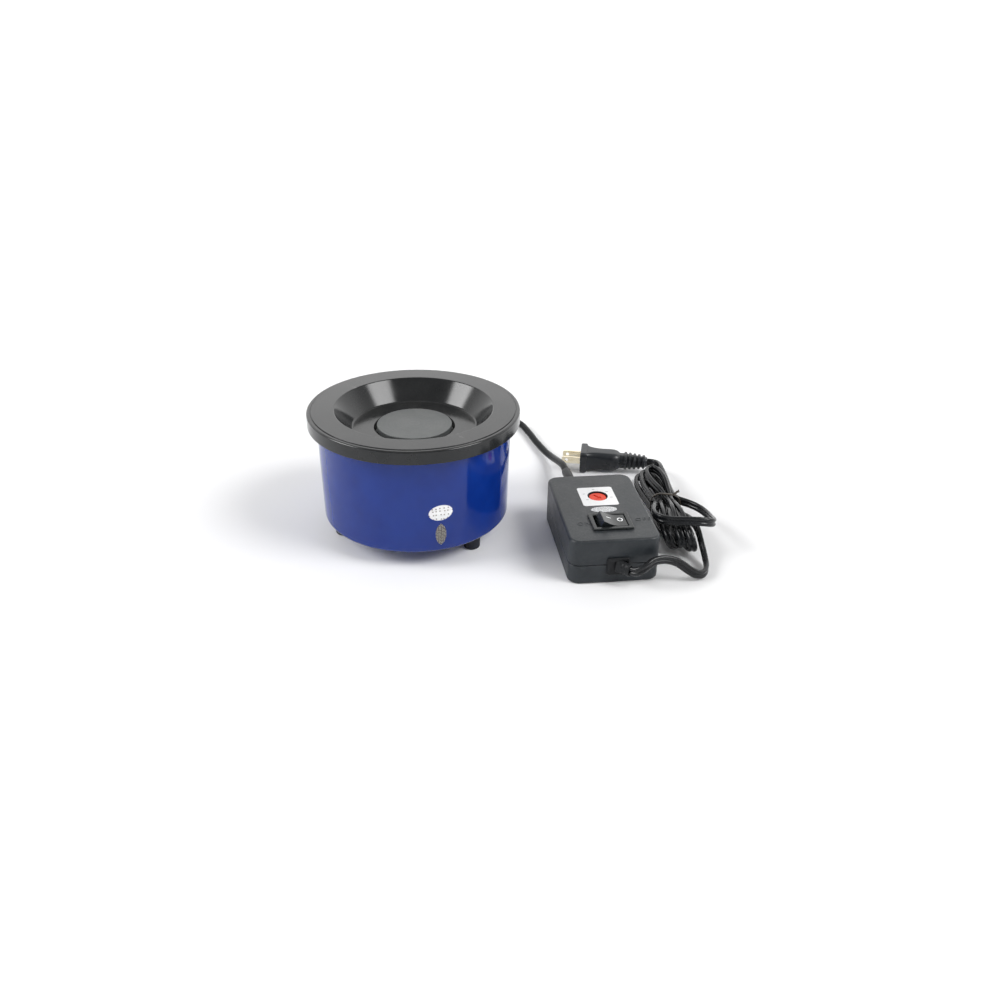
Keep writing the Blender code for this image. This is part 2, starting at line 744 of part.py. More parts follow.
def make_feet(unit):
    """Each foot with the screw that holds it and its pillar to the drum's floor."""
    for number, turn in enumerate(foot_angles(), 1):
        where = on_circle(FOOT_CIRCLE, turn)
        bore = M4_SHANK + SCREW_CLEARANCE
        recess = M4_HEAD + 2 * SCREW_CLEARANCE
        top = DRUM_BOTTOM - GAP
        foot = turned(f"foot_{number}", [
            (FOOT_TOP_RADIUS, top), (FOOT_RADIUS, top - FOOT_SHOULDER),
            (FOOT_RADIUS, FOOT_SOLE_EDGE), (FOOT_SOLE_RADIUS, 0),
            (recess, 0), (recess, FOOT_RECESS_DEPTH),
            (bore, FOOT_RECESS_DEPTH), (bore, top),
        ], RUBBER, 24, closed=True)
        place(foot, unit, (*where, 0))
        bolt = screw(f"foot_screw_{number}", M4_SHANK, M4_HEAD, M4_HEAD_HEIGHT,
                     DRUM_FLOOR - FOOT_RECESS_DEPTH + M4_LENGTH)
        place(bolt, unit, (*where, FOOT_RECESS_DEPTH - GAP), (math.pi, 0, 0))
        pillar = turned(f"pillar_{number}", [
            (PILLAR_RADIUS, PLATE_UNDERSIDE - GAP), (PILLAR_RADIUS, DRUM_FLOOR + GAP),
            (bore, DRUM_FLOOR + GAP), (bore, PLATE_UNDERSIDE - GAP),
        ], ZINC, SMALL_STEPS, closed=True)
        place(pillar, unit, (*where, 0))
        bolt = screw(f"plate_screw_{number}", M4_SHANK, M4_HEAD, M4_HEAD_HEIGHT,
                     PLATE_THICKNESS + M4_LENGTH)
        place(bolt, unit, (*where, PLATE_TOP + GAP))


def make_motor_plate(unit):
    """The round plate on the pillars that carries the motor, with its two screws."""
    bore = M4_SHANK + SCREW_CLEARANCE
    holes = [circle(bore, on_circle(FOOT_CIRCLE, turn)) for turn in foot_angles()]
    between = math.pi / FOOT_COUNT
    holes += [
        circle(PLATE_HOLE_RADIUS, on_circle(PLATE_HOLE_CIRCLE, turn + between), 24)
        for turn in foot_angles()
    ]
    holes.append(circle(HUB_RADIUS, (0, 0), 24))
    motor_screws = [(MOTOR_SCREW_CIRCLE, 0), (-MOTOR_SCREW_CIRCLE, 0)]
    holes += [circle(M3_SHANK + SCREW_CLEARANCE, where) for where in motor_screws]
    outline = circle(PLATE_RADIUS, (0, 0), FINE_STEPS)
    place(plate("motor_plate", [outline] + holes, PLATE_UNDERSIDE, PLATE_TOP, ZINC), unit)
    for number, where in enumerate(motor_screws, 1):
        bolt = screw(f"motor_screw_{number}", M3_SHANK, M3_HEAD, M3_HEAD_HEIGHT,
                     PLATE_THICKNESS + 2 * MOTOR_WALL)
        place(bolt, unit, (*where, PLATE_TOP + GAP))


def make_motor_case(unit):
    """The motor's can, its end cap, bearings, magnets and brushes."""
    inner = MOTOR_RADIUS - MOTOR_WALL
    seat_bottom = MOTOR_TOP - BEARING_HEIGHT - GAP
    seat_outer = BEARING_SEAT + BEARING_SEAT_WALL
    can = turned("motor_can", [
        (MOTOR_RADIUS, MOTOR_TOP), (MOTOR_RADIUS, MOTOR_BOTTOM), (inner, MOTOR_BOTTOM),
        (inner, MOTOR_TOP - MOTOR_WALL), (seat_outer, MOTOR_TOP - MOTOR_WALL),
        (seat_outer, seat_bottom), (BEARING_SEAT, seat_bottom), (BEARING_SEAT, MOTOR_TOP),
    ], ZINC, ROUND_STEPS, closed=True)
    holes = []
    for side in (1, -1):
        hole = cylinder("motor_screw_hole", M3_SHANK + SCREW_CLEARANCE,
                        MOTOR_TOP - 2 * MOTOR_WALL, MOTOR_TOP + MOTOR_WALL)
        hole.location.x = side * MOTOR_SCREW_CIRCLE
        holes.append(hole)
    boolean(can, several("motor_screw_holes", holes))
    place(can, unit)
    cap = turned("motor_end_cap", [
        (inner - GAP, MOTOR_BOTTOM + END_CAP_HEIGHT), (inner - GAP, MOTOR_BOTTOM),
        (BEARING_SEAT, MOTOR_BOTTOM), (BEARING_SEAT, MOTOR_BOTTOM + END_CAP_HEIGHT),
    ], BLACK_PLASTIC, ROUND_STEPS, closed=True)
    place(cap, unit)
    for name, low in (("upper_bearing", MOTOR_TOP - BEARING_HEIGHT),
                      ("lower_bearing", MOTOR_BOTTOM + GAP)):
        bore = SHAFT_RADIUS + RUNNING_GAP
        place(turned(name, [
            (BEARING_RADIUS, low + BEARING_HEIGHT), (BEARING_RADIUS, low),
            (bore, low), (bore, low + BEARING_HEIGHT),
        ], STEEL, ROUND_STEPS, closed=True), unit)
    for number, middle in ((1, math.pi / 2), (2, -math.pi / 2)):
        start, end = middle - MAGNET_SPAN / 2, middle + MAGNET_SPAN / 2
        outline = arc(MAGNET_OUTER, start, end, 14) + arc(MAGNET_INNER, end, start, 14)
        magnet = plate(f"magnet_{number}", [outline], ARMATURE_LOW, ARMATURE_HIGH, FERRITE)
        place(magnet, unit)
        reach = COMMUTATOR_RADIUS + AIR_GAP + BRUSH_LENGTH / 2
        height = MOTOR_BOTTOM + END_CAP_HEIGHT + GAP + BRUSH_HEIGHT / 2
        brush = block(f"brush_{number}", (BRUSH_WIDTH, BRUSH_LENGTH, BRUSH_HEIGHT),
                      (0, math.copysign(reach, middle), height), FERRITE)
        place(brush, unit)


def armature_outline():
    """The laminations' outline: each pole's root, neck and round shoe."""
    points = []
    pitch = 2 * math.pi / ARMATURE_POLES
    neck_radius = ARMATURE_RADIUS - SHOE_THICKNESS
    shoe, neck, root = SHOE_SHARE * pitch / 2, NECK_SHARE * pitch / 2, ROOT_SHARE * pitch / 2
    for i in range(ARMATURE_POLES):
        middle = i * pitch
        points.append(on_circle(ARMATURE_ROOT_RADIUS, middle - root))
        points.append(on_circle(neck_radius, middle - neck))
        points += arc(ARMATURE_RADIUS, middle - shoe, middle + shoe, 4)
        points.append(on_circle(neck_radius, middle + neck))
        points.append(on_circle(ARMATURE_ROOT_RADIUS, middle + root))
    return points


def make_spindle(unit):
    """All that spins: the wheel head, its grub screw, the shaft and the armature."""
    spindle = new_empty("spindle", (0, 0, 0), parent=unit)
    bore = SHAFT_RADIUS + GAP
    underside = HEAD_TOP - HEAD_THICKNESS
    head = turned("wheel_head", [
        (0, HEAD_TOP), (HEAD_RADIUS - HEAD_EDGE, HEAD_TOP),
        (HEAD_RADIUS, HEAD_TOP - HEAD_EDGE), (HEAD_RADIUS, underside),
        (HUB_GROOVE_RADIUS, underside), (HUB_GROOVE_RADIUS, underside + HUB_GROOVE_DEPTH),
        (HUB_RADIUS, underside + HUB_GROOVE_DEPTH), (HUB_RADIUS, HUB_BOTTOM),
        (bore, HUB_BOTTOM), (bore, HUB_BOTTOM + HUB_BORE_DEPTH),
        (0, HUB_BOTTOM + HUB_BORE_DEPTH),
    ], SATIN_METAL, FINE_STEPS)
    grub_height = HUB_BOTTOM + GRUB_HEIGHT_IN_HUB
    hole = cylinder("grub_hole", GRUB_RADIUS + GAP, 0, HUB_RADIUS + bore)
    hole.location = (0, 0, grub_height)
    hole.rotation_euler = (0, math.pi / 2, 0)
    boolean(head, hole)
    place(head, spindle)
    grub = cylinder("hub_grub_screw", GRUB_RADIUS, bore, HUB_RADIUS - GAP, STEEL)
    socket = cylinder("grub_socket", GRUB_RADIUS / 2, HUB_RADIUS - 4 * GAP, HUB_RADIUS,
                      steps=6)
    boolean(grub, socket)
    place(grub, spindle, (0, 0, grub_height), (0, math.pi / 2, 0))
    shaft = cylinder("motor_shaft", SHAFT_RADIUS, MOTOR_BOTTOM + GAP,
                     HUB_BOTTOM + HUB_BORE_DEPTH - GAP, STEEL, ROUND_STEPS)
    place(shaft, spindle)
    core = plate("armature_core", [armature_outline(), circle(bore, (0, 0), 24)],
                 ARMATURE_LOW, ARMATURE_HIGH, FERRITE)
    place(core, spindle)
    for name, low in (("winding_upper", ARMATURE_HIGH + GAP),
                      ("winding_lower", ARMATURE_LOW - GAP - WINDING_HEIGHT)):
        high = low + WINDING_HEIGHT
        ring = turned(name, [
            (WINDING_OUTER - WINDING_EDGE, high), (WINDING_OUTER, high - WINDING_EDGE),
            (WINDING_OUTER, low), (WINDING_INNER, low), (WINDING_INNER, high),
        ], COPPER, 24, closed=True)
        place(ring, spindle)
    low = MOTOR_BOTTOM + END_CAP_HEIGHT + GAP
    commutator = turned("commutator", [
        (COMMUTATOR_RADIUS, low + COMMUTATOR_HEIGHT), (COMMUTATOR_RADIUS, low),
        (bore, low), (bore, low + COMMUTATOR_HEIGHT),
    ], COPPER, 24, closed=True)
    place(commutator, spindle)


# ---------------------------------------------------------------- control box


def post_places():
    x, y = BOX_WIDTH / 2 - POST_INSET, BOX_LENGTH / 2 - POST_INSET
    return [(x, y), (-x, y), (-x, -y), (x, -y)]


def shell_cutter(name, low, high):
    return plate(name, [round_rectangle(BOX_WIDTH - 2 * BOX_WALL, BOX_LENGTH - 2 * BOX_WALL,
                                        BOX_CORNER - BOX_WALL)], low, high)


def posts(name, radius, low, high):
    """Four posts at the box's corners, or the bores of their screws."""
    return several(name, [
        moved(cylinder(name, radius, low, high), where) for where in post_places()
    ])


def moved(obj, where):
    obj.data.transform(Matrix.Translation((*where, 0)))
    return obj


def relief_ports():
    """The two openings at the seam, for the round rear relief and the square front one."""
    rear = cylinder("box_rear_port", RELIEF_NECK_RADIUS + GAP, -2 * BOX_WALL, 2 * BOX_WALL,
                    steps=24)
    rear.data.transform(
        Matrix.Translation((BOX_RELIEF_X, BOX_LENGTH / 2, BOX_SEAM))
        @ Matrix.Rotation(-math.pi / 2, 4, "X")
    )
    width, height = MAINS_RELIEF_NECK
    front = block("box_front_port", (width + 2 * GAP, 4 * BOX_WALL, height + 2 * GAP),
                  (MAINS_RELIEF_X, -BOX_LENGTH / 2, MAINS_RELIEF_Z))
    return several("box_ports", [rear, front])


def make_lower_shell(unit):
    top = BOX_SEAM - GAP / 2
    outline = round_rectangle(BOX_WIDTH, BOX_LENGTH, BOX_CORNER)
    shell = plate("box_lower_shell", [outline], 0, top, GREY_ABS)
    bevel_edges(shell, BOX_EDGE, 0)
    boolean(shell, shell_cutter("lower_hollow", BOX_WALL, BOX_HEIGHT))
    boolean(shell, posts("lower_posts", LOWER_POST_RADIUS, BOX_WALL / 2, top), "UNION")
    x, y = BOARD_WIDTH / 2 - STANDOFF_INSET, BOARD_LENGTH / 2 - STANDOFF_INSET
    standoffs = several("standoffs", [
        moved(cylinder("standoff", STANDOFF_RADIUS, BOX_WALL / 2, BOARD_HEIGHT - GAP), where)
        for where in ((x, y), (-x, y), (-x, -y), (x, -y))
    ])
    boolean(shell, standoffs, "UNION")
    boolean(shell, posts("screw_recesses", BOX_SCREW_HEAD + SCREW_CLEARANCE, -BOX_WALL,
                         BOX_SCREW_RECESS))
    boolean(shell, posts("screw_bores", BOX_SCREW_SHANK + SCREW_CLEARANCE, -BOX_WALL,
                         BOX_HEIGHT))
    boolean(shell, relief_ports())
    place(shell, unit)


def bevel_edges(obj, width, z):
    """Rounds the outer edges that lie in the plane z, before the part is hollowed."""
    form = bmesh.new()
    form.from_mesh(obj.data)
    edges = [e for e in form.edges if all(abs(v.co.z - z) < 0.00001 for v in e.verts)]
    bmesh.ops.bevel(form, geom=edges, offset=width, segments=2, profile=0.5,
                    affect="EDGES", clamp_overlap=True)
    form.to_mesh(obj.data)
    form.free()


def make_upper_shell(unit):
    bottom = BOX_SEAM + GAP / 2
    outline = round_rectangle(BOX_WIDTH, BOX_LENGTH, BOX_CORNER)
    shell = plate("box_upper_shell", [outline], bottom, BOX_HEIGHT, GREY_ABS)
    bevel_edges(shell, BOX_EDGE, BOX_HEIGHT)
    boolean(shell, shell_cutter("upper_hollow", 0, BOX_HEIGHT - BOX_WALL))
    boolean(shell, posts("upper_posts", UPPER_POST_RADIUS, bottom, BOX_HEIGHT - BOX_WALL / 2),
            "UNION")
    boolean(shell, posts("post_bores", BOX_SCREW_SHANK + SCREW_CLEARANCE, 0,
                         BOX_HEIGHT - 2 * BOX_WALL))
    opening = block("switch_cutout", (*switch_body_size(2 * GAP), 6 * BOX_WALL),
                    (*SWITCH_PLACE, BOX_HEIGHT))
    boolean(shell, opening)
    knob_hole = moved(cylinder("knob_hole", KNOB_RADIUS + KNOB_CLEARANCE,
                               BOX_HEIGHT - 2 * BOX_WALL, BOX_HEIGHT + BOX_WALL, steps=24),
                      KNOB_PLACE)
    boolean(shell, knob_hole)
    boolean(shell, relief_ports())
    place(shell, unit)


def make_box_screws(unit):
    for number, where in enumerate(post_places(), 1):
        bolt = screw(f"box_screw_{number}", BOX_SCREW_SHANK, BOX_SCREW_HEAD,
                     BOX_SCREW_HEAD_HEIGHT, BOX_SCREW_LENGTH)
        place(bolt, unit, (*where, BOX_SCREW_RECESS - GAP), (math.pi, 0, 0))


def switch_body_size(extra=0):
    """The switch body's width and length below its flange."""
    return (SWITCH_WIDTH - 2 * SWITCH_FLANGE + extra,
            SWITCH_LENGTH - 2 * SWITCH_FLANGE + extra)


def switch_opening_size():
    width, length = switch_body_size()
    return width - 2 * SWITCH_WALL, length - 2 * SWITCH_WALL


def make_switch(unit):
    """The switch's frame: a flange on the panel, and an open-topped body below it."""
    flange = plate("switch_frame", [round_rectangle(SWITCH_WIDTH, SWITCH_LENGTH, SWITCH_CORNER, 2)],
                   BOX_HEIGHT + GAP, SWITCH_TOP, GLOSSY_BLACK)
    bevel_edges(flange, SWITCH_EDGE, SWITCH_TOP)
    body_high = SWITCH_TOP - SWITCH_RISE / 2
    body = block("switch_body", (*switch_body_size(), body_high - SWITCH_BOTTOM),
                 (0, 0, (body_high + SWITCH_BOTTOM) / 2))
    boolean(flange, body, "UNION")
    hollow = block("switch_hollow", (*switch_opening_size(), SWITCH_DEPTH),
                   (0, 0, SWITCH_BOTTOM + SWITCH_WALL + SWITCH_DEPTH / 2))
    boolean(flange, hollow)
    place(flange, unit, (*SWITCH_PLACE, 0))


def rocker_outline():
    """The rocker from its side, about its pivot, with its right half pressed down flat."""
    half = switch_opening_size()[0] / 2 - ROCKER_CLEARANCE
    axis_turn = math.pi / 2 - ROCKER_TILT
    valley = ROCKER_FACE_HEIGHT / math.sin(axis_turn)
    right = [(half, ROCKER_FACE_HEIGHT), (half, -ROCKER_SKIRT),
             (ROCKER_BELLY_HALF, -ROCKER_BELLY)]
    left = []
    for x, z in reversed(right):
        turn = 2 * axis_turn - math.atan2(z, x)
        left.append(on_circle(math.hypot(x, z), turn))
    return [on_circle(valley, axis_turn)] + left[::-1] + right[::-1]


def make_rocker(unit):
    """The rocker, turned about its pivot, which lies along the box's length."""
    length = switch_opening_size()[1] - 2 * ROCKER_CLEARANCE
    rocker = plate("rocker_button", [rocker_outline()], -length / 2, length / 2, GLOSSY_BLACK)
    rocker.data.transform(Matrix.Rotation(math.pi / 2, 4, "X"))
    place(rocker, unit, (*SWITCH_PLACE, ROCKER_PIVOT))


def arrow_outline():
    half, width, head = ARROW_LENGTH / 2, ARROW_WIDTH / 2, ARROW_HEAD / 2
    neck = half - ARROW_HEAD_LENGTH
    return [(-half, -width), (neck, -width), (neck, -head), (half, 0), (neck, head),
            (neck, width), (-half, width)]


def make_knob(unit):
    """The knob's disc with its arrow slot, and the stem that turns the potentiometer."""
    low = KNOB_TOP - KNOB_THICKNESS
    pot_top = BOARD_TOP + GAP + POT_SIZE[2]
    stem_low = pot_top + POT_BUSH_HEIGHT + GAP
    knob = turned("speed_knob", [
        (0, KNOB_TOP), (KNOB_RADIUS - KNOB_EDGE, KNOB_TOP),
        (KNOB_RADIUS, KNOB_TOP - KNOB_EDGE), (KNOB_RADIUS, low),
        (KNOB_STEM_RADIUS, low), (KNOB_STEM_RADIUS, stem_low), (0, stem_low),
    ], RED_PLASTIC, 24)
    arrow = plate("arrow_slot", [arrow_outline()], KNOB_TOP - ARROW_DEPTH,
                  KNOB_TOP + ARROW_DEPTH)
    arrow.rotation_euler.z = ARROW_ANGLE
    boolean(knob, arrow)
    place(knob, unit, (*KNOB_PLACE, 0))
    middle = pot_top - POT_SIZE[2] / 2
    pot = block("potentiometer", POT_SIZE, (0, 0, middle), ZINC)
    bush = cylinder("pot_bush", POT_BUSH_RADIUS, middle, pot_top + POT_BUSH_HEIGHT)
    boolean(pot, bush, "UNION")
    place(pot, unit, (*KNOB_PLACE, 0))


def fin_outline():
    """The heat sink's section: a back and a row of fins."""
    half_width, half_length = HEAT_SINK_WIDTH / 2, HEAT_SINK_LENGTH / 2
    pitch = HEAT_SINK_LENGTH / (2 * HEAT_SINK_FINS - 1)
    points = [(-half_width, -half_length)]
    for i in range(HEAT_SINK_FINS):
        low = -half_length + 2 * i * pitch
        points += [(half_width, low), (half_width, low + pitch)]
        if i < HEAT_SINK_FINS - 1:
            points += [(-half_width / 2, low + pitch), (-half_width / 2, low + 2 * pitch)]
    return points + [(-half_width, half_length)]


def make_board(unit):
    """The circuit board with its transformer, capacitor and heat sink."""
    outline = round_rectangle(BOARD_WIDTH, BOARD_LENGTH, BOARD_CORNER, 2)
    place(plate("circuit_board", [outline], BOARD_HEIGHT, BOARD_TOP, BOARD_GREEN), unit)
    foot = BOARD_TOP + GAP
    side = BOARD_WIDTH / 2
    height = SWITCH_BOTTOM - TRANSFORMER_BELOW_SWITCH - foot
    core_size = (TRANSFORMER_WIDTH, 0.6 * TRANSFORMER_LENGTH, height)
    core = block("transformer", core_size, (0, 0, foot + height / 2), FERRITE)
    coil_size = (0.7 * TRANSFORMER_WIDTH, TRANSFORMER_LENGTH, 0.8 * height)
    coil = block("transformer_coil", coil_size, (0, 0, foot + 0.4 * height))
    boolean(core, coil, "UNION")
    place(core, unit, (TRANSFORMER_EDGE + TRANSFORMER_WIDTH / 2 - side, TRANSFORMER_Y, 0))
    high = BOX_HEIGHT - BOX_WALL - BELOW_TOP_GAP
    can = cylinder("capacitor", CAPACITOR_RADIUS, foot, high, CORD_PVC)
    place(can, unit, (side - CAPACITOR_EDGE - CAPACITOR_RADIUS, CAPACITOR_Y, 0))
    sink = plate("heat_sink", [fin_outline()], foot, high, ZINC)
    start = SWITCH_PLACE[1] + SWITCH_LENGTH / 2 + HEAT_SINK_BEHIND_SWITCH
    sink_place = (side - HEAT_SINK_EDGE - HEAT_SINK_WIDTH / 2, start + HEAT_SINK_LENGTH / 2, 0)
    place(sink, unit, sink_place)


def make_box_reliefs(unit):
    """The round relief of the DC lead at the back, and the square one of the mains lead."""
    rear = turned("box_dc_relief", relief_profile(BOX_WALL, BOX_RELIEF_LENGTH, GAP), RUBBER, 24)
    place(rear, unit, (BOX_RELIEF_X, BOX_LENGTH / 2, BOX_SEAM), (-math.pi / 2, 0, 0))
    wide, high = MAINS_RELIEF_PLATE
    neck_wide, neck_high = MAINS_RELIEF_NECK
    flange = block("mains_relief", (wide, RELIEF_FLANGE, high),
                   (0, -GAP - RELIEF_FLANGE / 2, 0), RUBBER)
    neck = block("mains_neck", (neck_wide, BOX_WALL + 2 * GAP + RELIEF_FLANGE, neck_high),
                 (0, (BOX_WALL - RELIEF_FLANGE) / 2, 0))
    boolean(flange, neck, "UNION")
    inside = block("mains_inner_flange", (wide, RELIEF_FLANGE, high),
                   (0, BOX_WALL + GAP + RELIEF_FLANGE / 2, 0))
    boolean(flange, inside, "UNION")
    nose = cylinder("mains_nose", NOSE_ROOT_RADIUS, 0, MAINS_RELIEF_LENGTH,
                    steps=SMALL_STEPS, top_radius=MAINS_LEAD_RADIUS + NOSE_WALL)
    nose.data.transform(Matrix.Diagonal((NOSE_FLATNESS, 1, 1, 1)))
    nose.rotation_euler = (math.pi / 2 + MAINS_RELIEF_DROOP, 0, MAINS_RELIEF_TURN)
    boolean(flange, nose, "UNION")
    place(flange, unit, (MAINS_RELIEF_X, -BOX_LENGTH / 2, MAINS_RELIEF_Z))


# ---------------------------------------------------------------- plug, leads and hank


def plug_outline():
    """The plug's body from above, behind its flange: it narrows to the relief."""
    length, width, _ = PLUG_BODY
    start = -PLUG_RELIEF_LENGTH
    steps = 6
    side = []
    for i in range(steps + 1):
        share = i / steps
        ease = (1 - math.cos(math.pi * share)) / 2
        half = (PLUG_NECK_WIDTH + (width - PLUG_NECK_WIDTH) * ease) / 2
        side.append((start - share * length, half))
    return [(x, -y) for x, y in reversed(side)] + side


def make_plug():
    """The plug lies flat behind the box, with its blades on edge."""
    axis = (WHEEL_AXIS.x + PLUG_PLACE[0], WHEEL_AXIS.y + PLUG_PLACE[1], PLUG_AXIS_HEIGHT)
    unit = new_empty("plug_unit", axis, (0, 0, PLUG_TURN))
    height = PLUG_BODY[2]
    body = plate("plug_body", [plug_outline()], -height / 2, height / 2, GLOSSY_BLACK)
    face = -PLUG_RELIEF_LENGTH - PLUG_BODY[0] - PLUG_FLANGE[0] / 2
    flange = block("plug_flange", PLUG_FLANGE, (face, 0, 0))
    boolean(body, flange, "UNION")
    relief = cylinder("plug_relief", PLUG_NECK_WIDTH / 2, 0, PLUG_RELIEF_LENGTH + PLUG_BODY[0] / 4,
                      steps=SMALL_STEPS, top_radius=PLUG_RELIEF_RADIUS)
    relief.data.transform(Matrix.Translation((-PLUG_RELIEF_LENGTH - PLUG_BODY[0] / 4, 0, 0))
                          @ Matrix.Rotation(math.pi / 2, 4, "Y"))
    boolean(body, relief, "UNION")
    place(body, unit)
    blade_root = face - PLUG_FLANGE[0] / 2 - GAP
    length, thickness, width = BLADE_SIZE
    chamfer = BLADE_CHAMFER
    outline = [(0, -width / 2), (0, width / 2), (-length + chamfer, width / 2),
               (-length, width / 2 - chamfer), (-length, -width / 2 + chamfer),
               (-length + chamfer, -width / 2)]
    for number, side in ((1, 1), (2, -1)):
        hole = circle(BLADE_HOLE_RADIUS, (-length + BLADE_HOLE_FROM_TIP, 0), 12)
        blade = plate(f"plug_blade_{number}", [outline, hole], -thickness / 2, thickness / 2,
                      BRASS)
        blade.data.transform(Matrix.Rotation(math.pi / 2, 4, "X"))
        place(blade, unit, (blade_root, side * BLADE_SPACING / 2, 0))


def hank_outline():
    """The hank from above: a wide front loop, a waist under the tie and a back loop."""
    front, waist, back = Vector(HANK_FRONT), Vector(HANK_WAIST), Vector(HANK_BACK)
    left, right = [], []
    steps = 8
    for start, end, half_start, half_end in (
        (front, waist, HANK_FRONT_RADIUS, HANK_WAIST_HALF),
        (waist, back, HANK_WAIST_HALF, HANK_BACK_RADIUS),
    ):
        across = Vector((end.y - start.y, start.x - end.x)).normalized()
        for i in range(steps):
            share = i / steps
            ease = (1 - math.cos(math.pi * share)) / 2
            half = half_start + (half_end - half_start) * ease
            middle = start.lerp(end, share)
            right.append(middle + across * half)
            left.append(middle - across * half)
    along = (back - waist).normalized()
    heading = math.atan2(along.y, along.x)
    cap = [
        back + Vector(on_circle(HANK_BACK_RADIUS, heading - math.pi / 2 + math.pi * i / steps))
        for i in range(steps + 1)
    ]
    along = (front - waist).normalized()
    heading = math.atan2(along.y, along.x)
    nose = [
        front + Vector(on_circle(HANK_FRONT_RADIUS, heading - math.pi / 2 + math.pi * i / steps))
        for i in range(1, steps)
    ]
    return [tuple(point) for point in right + cap + left[::-1] + nose]


def make_hank():
    hank = plate("mains_hank", [hank_outline()], HANK_LOW, HANK_HIGH, CORD_PVC)
    place(hank, None, WHEEL_AXIS)
    half = HANK_WAIST_HALF + 2 * GAP
    middle = (HANK_LOW + HANK_HIGH) / 2
    tall = (HANK_HIGH - HANK_LOW) / 2 + 2 * GAP
    inner = round_rectangle(2 * half, 2 * tall, TIE_CORNER, 3)
    outer = round_rectangle(2 * (half + TIE_THICKNESS), 2 * (tall + TIE_THICKNESS),
                            TIE_CORNER + TIE_THICKNESS, 3)
    tie = plate("cord_tie", [outer, inner], -TIE_WIDTH / 2, TIE_WIDTH / 2, RUBBER)
    tie.data.transform(Matrix.Rotation(math.pi / 2, 4, "X"))
    along = Vector(HANK_BACK) - Vector(HANK_FRONT)
    turn = math.atan2(-along.x, along.y)
    place(tie, None, WHEEL_AXIS + Vector((*HANK_WAIST, middle)), (0, 0, turn))


def make_leads():
    for name, route, radius, resolution in (
        ("dc_lead", DC_ROUTE, DC_LEAD_RADIUS, 2),
        ("mains_lead", MAINS_ROUTE, MAINS_LEAD_RADIUS, 2),
        ("mains_tail", TAIL_ROUTE, MAINS_LEAD_RADIUS, 2),
    ):
        place(lead(name, route, radius, resolution), None, WHEEL_AXIS)


def make_wheel():
    unit = new_empty("wheel_unit", WHEEL_AXIS)
    make_lid(unit)
    make_drum(unit)
    make_drum_relief(unit)
    make_feet(unit)
    make_motor_plate(unit)
    make_motor_case(unit)
    make_spindle(unit)


def make_box():
    unit = new_empty("control_unit", WHEEL_AXIS + Vector((*BOX_OFFSET, 0)), (0, 0, BOX_TURN))
    make_lower_shell(unit)
    make_upper_shell(unit)
    make_box_screws(unit)
    make_switch(unit)
    make_rocker(unit)
    make_knob(unit)
    make_board(unit)
    make_box_reliefs(unit)


make_wheel()
make_box()
make_plug()
make_hank()
make_leads()
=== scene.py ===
"""Looks of the small electric pottery wheel: its drum and splash basin, its wheel head,
its control box with a knob and a rocker, and its two leads.

Metres, +Z up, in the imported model's own frame.
"""

import math

import bmesh
import bpy
from mathutils import Matrix, Vector


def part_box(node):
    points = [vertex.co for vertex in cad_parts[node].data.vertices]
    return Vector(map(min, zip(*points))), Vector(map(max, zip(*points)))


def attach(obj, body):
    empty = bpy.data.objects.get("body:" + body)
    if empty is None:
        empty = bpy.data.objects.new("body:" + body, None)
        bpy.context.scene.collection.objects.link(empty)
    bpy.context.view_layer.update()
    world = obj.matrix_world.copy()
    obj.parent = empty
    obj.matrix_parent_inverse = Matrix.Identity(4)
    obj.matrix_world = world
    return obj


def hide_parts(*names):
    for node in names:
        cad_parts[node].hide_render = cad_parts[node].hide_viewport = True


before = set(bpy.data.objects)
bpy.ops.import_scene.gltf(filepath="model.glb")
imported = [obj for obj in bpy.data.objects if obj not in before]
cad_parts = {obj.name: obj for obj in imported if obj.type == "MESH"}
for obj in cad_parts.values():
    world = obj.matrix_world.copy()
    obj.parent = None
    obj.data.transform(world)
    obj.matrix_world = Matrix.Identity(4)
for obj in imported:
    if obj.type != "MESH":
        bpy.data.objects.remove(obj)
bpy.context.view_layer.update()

MM = 0.001
UP = (0, 0, 1)

# Where the two units stand: the wheel's axis, and the control box with its turn
LID_LOW, LID_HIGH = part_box("basin_lid")
BOX_LOW, BOX_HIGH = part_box("box_lower_shell")
WHEEL_AXIS = Vector(((LID_LOW.x + LID_HIGH.x) / 2, (LID_LOW.y + LID_HIGH.y) / 2, 0))
BOX_CENTRE = Vector(((BOX_LOW.x + BOX_HIGH.x) / 2, (BOX_LOW.y + BOX_HIGH.y) / 2, 0))
BOX_TURN = math.radians(8)
TO_WHEEL = Matrix.Translation(WHEEL_AXIS)
TO_BOX = Matrix.Translation(BOX_CENTRE) @ Matrix.Rotation(BOX_TURN, 4, "Z")

# Camera, placed from the wheel's axis
CAMERA_PLACE = Vector((0.0749, -0.7206, 0.4082))
CAMERA_PITCH = math.radians(26.91)
CAMERA_ROLL = math.radians(1.0)
CAMERA_LENS = 35.46
CAMERA_SHIFT = (-0.0115, -0.0177)

# Light: how bright the pale and the dim parts of the room are, and the two lamps
ROOM_PALE = 1.0
ROOM_DIM = 0.30
BACK_WALL = 0.45
LEFT_LAMP = (-0.83, -0.11, 0.55)
RIGHT_LAMP = (0.68, -0.25, 0.69)
LAMP_WIDTH = math.radians(14)
LAMP_STRENGTH = 10.0

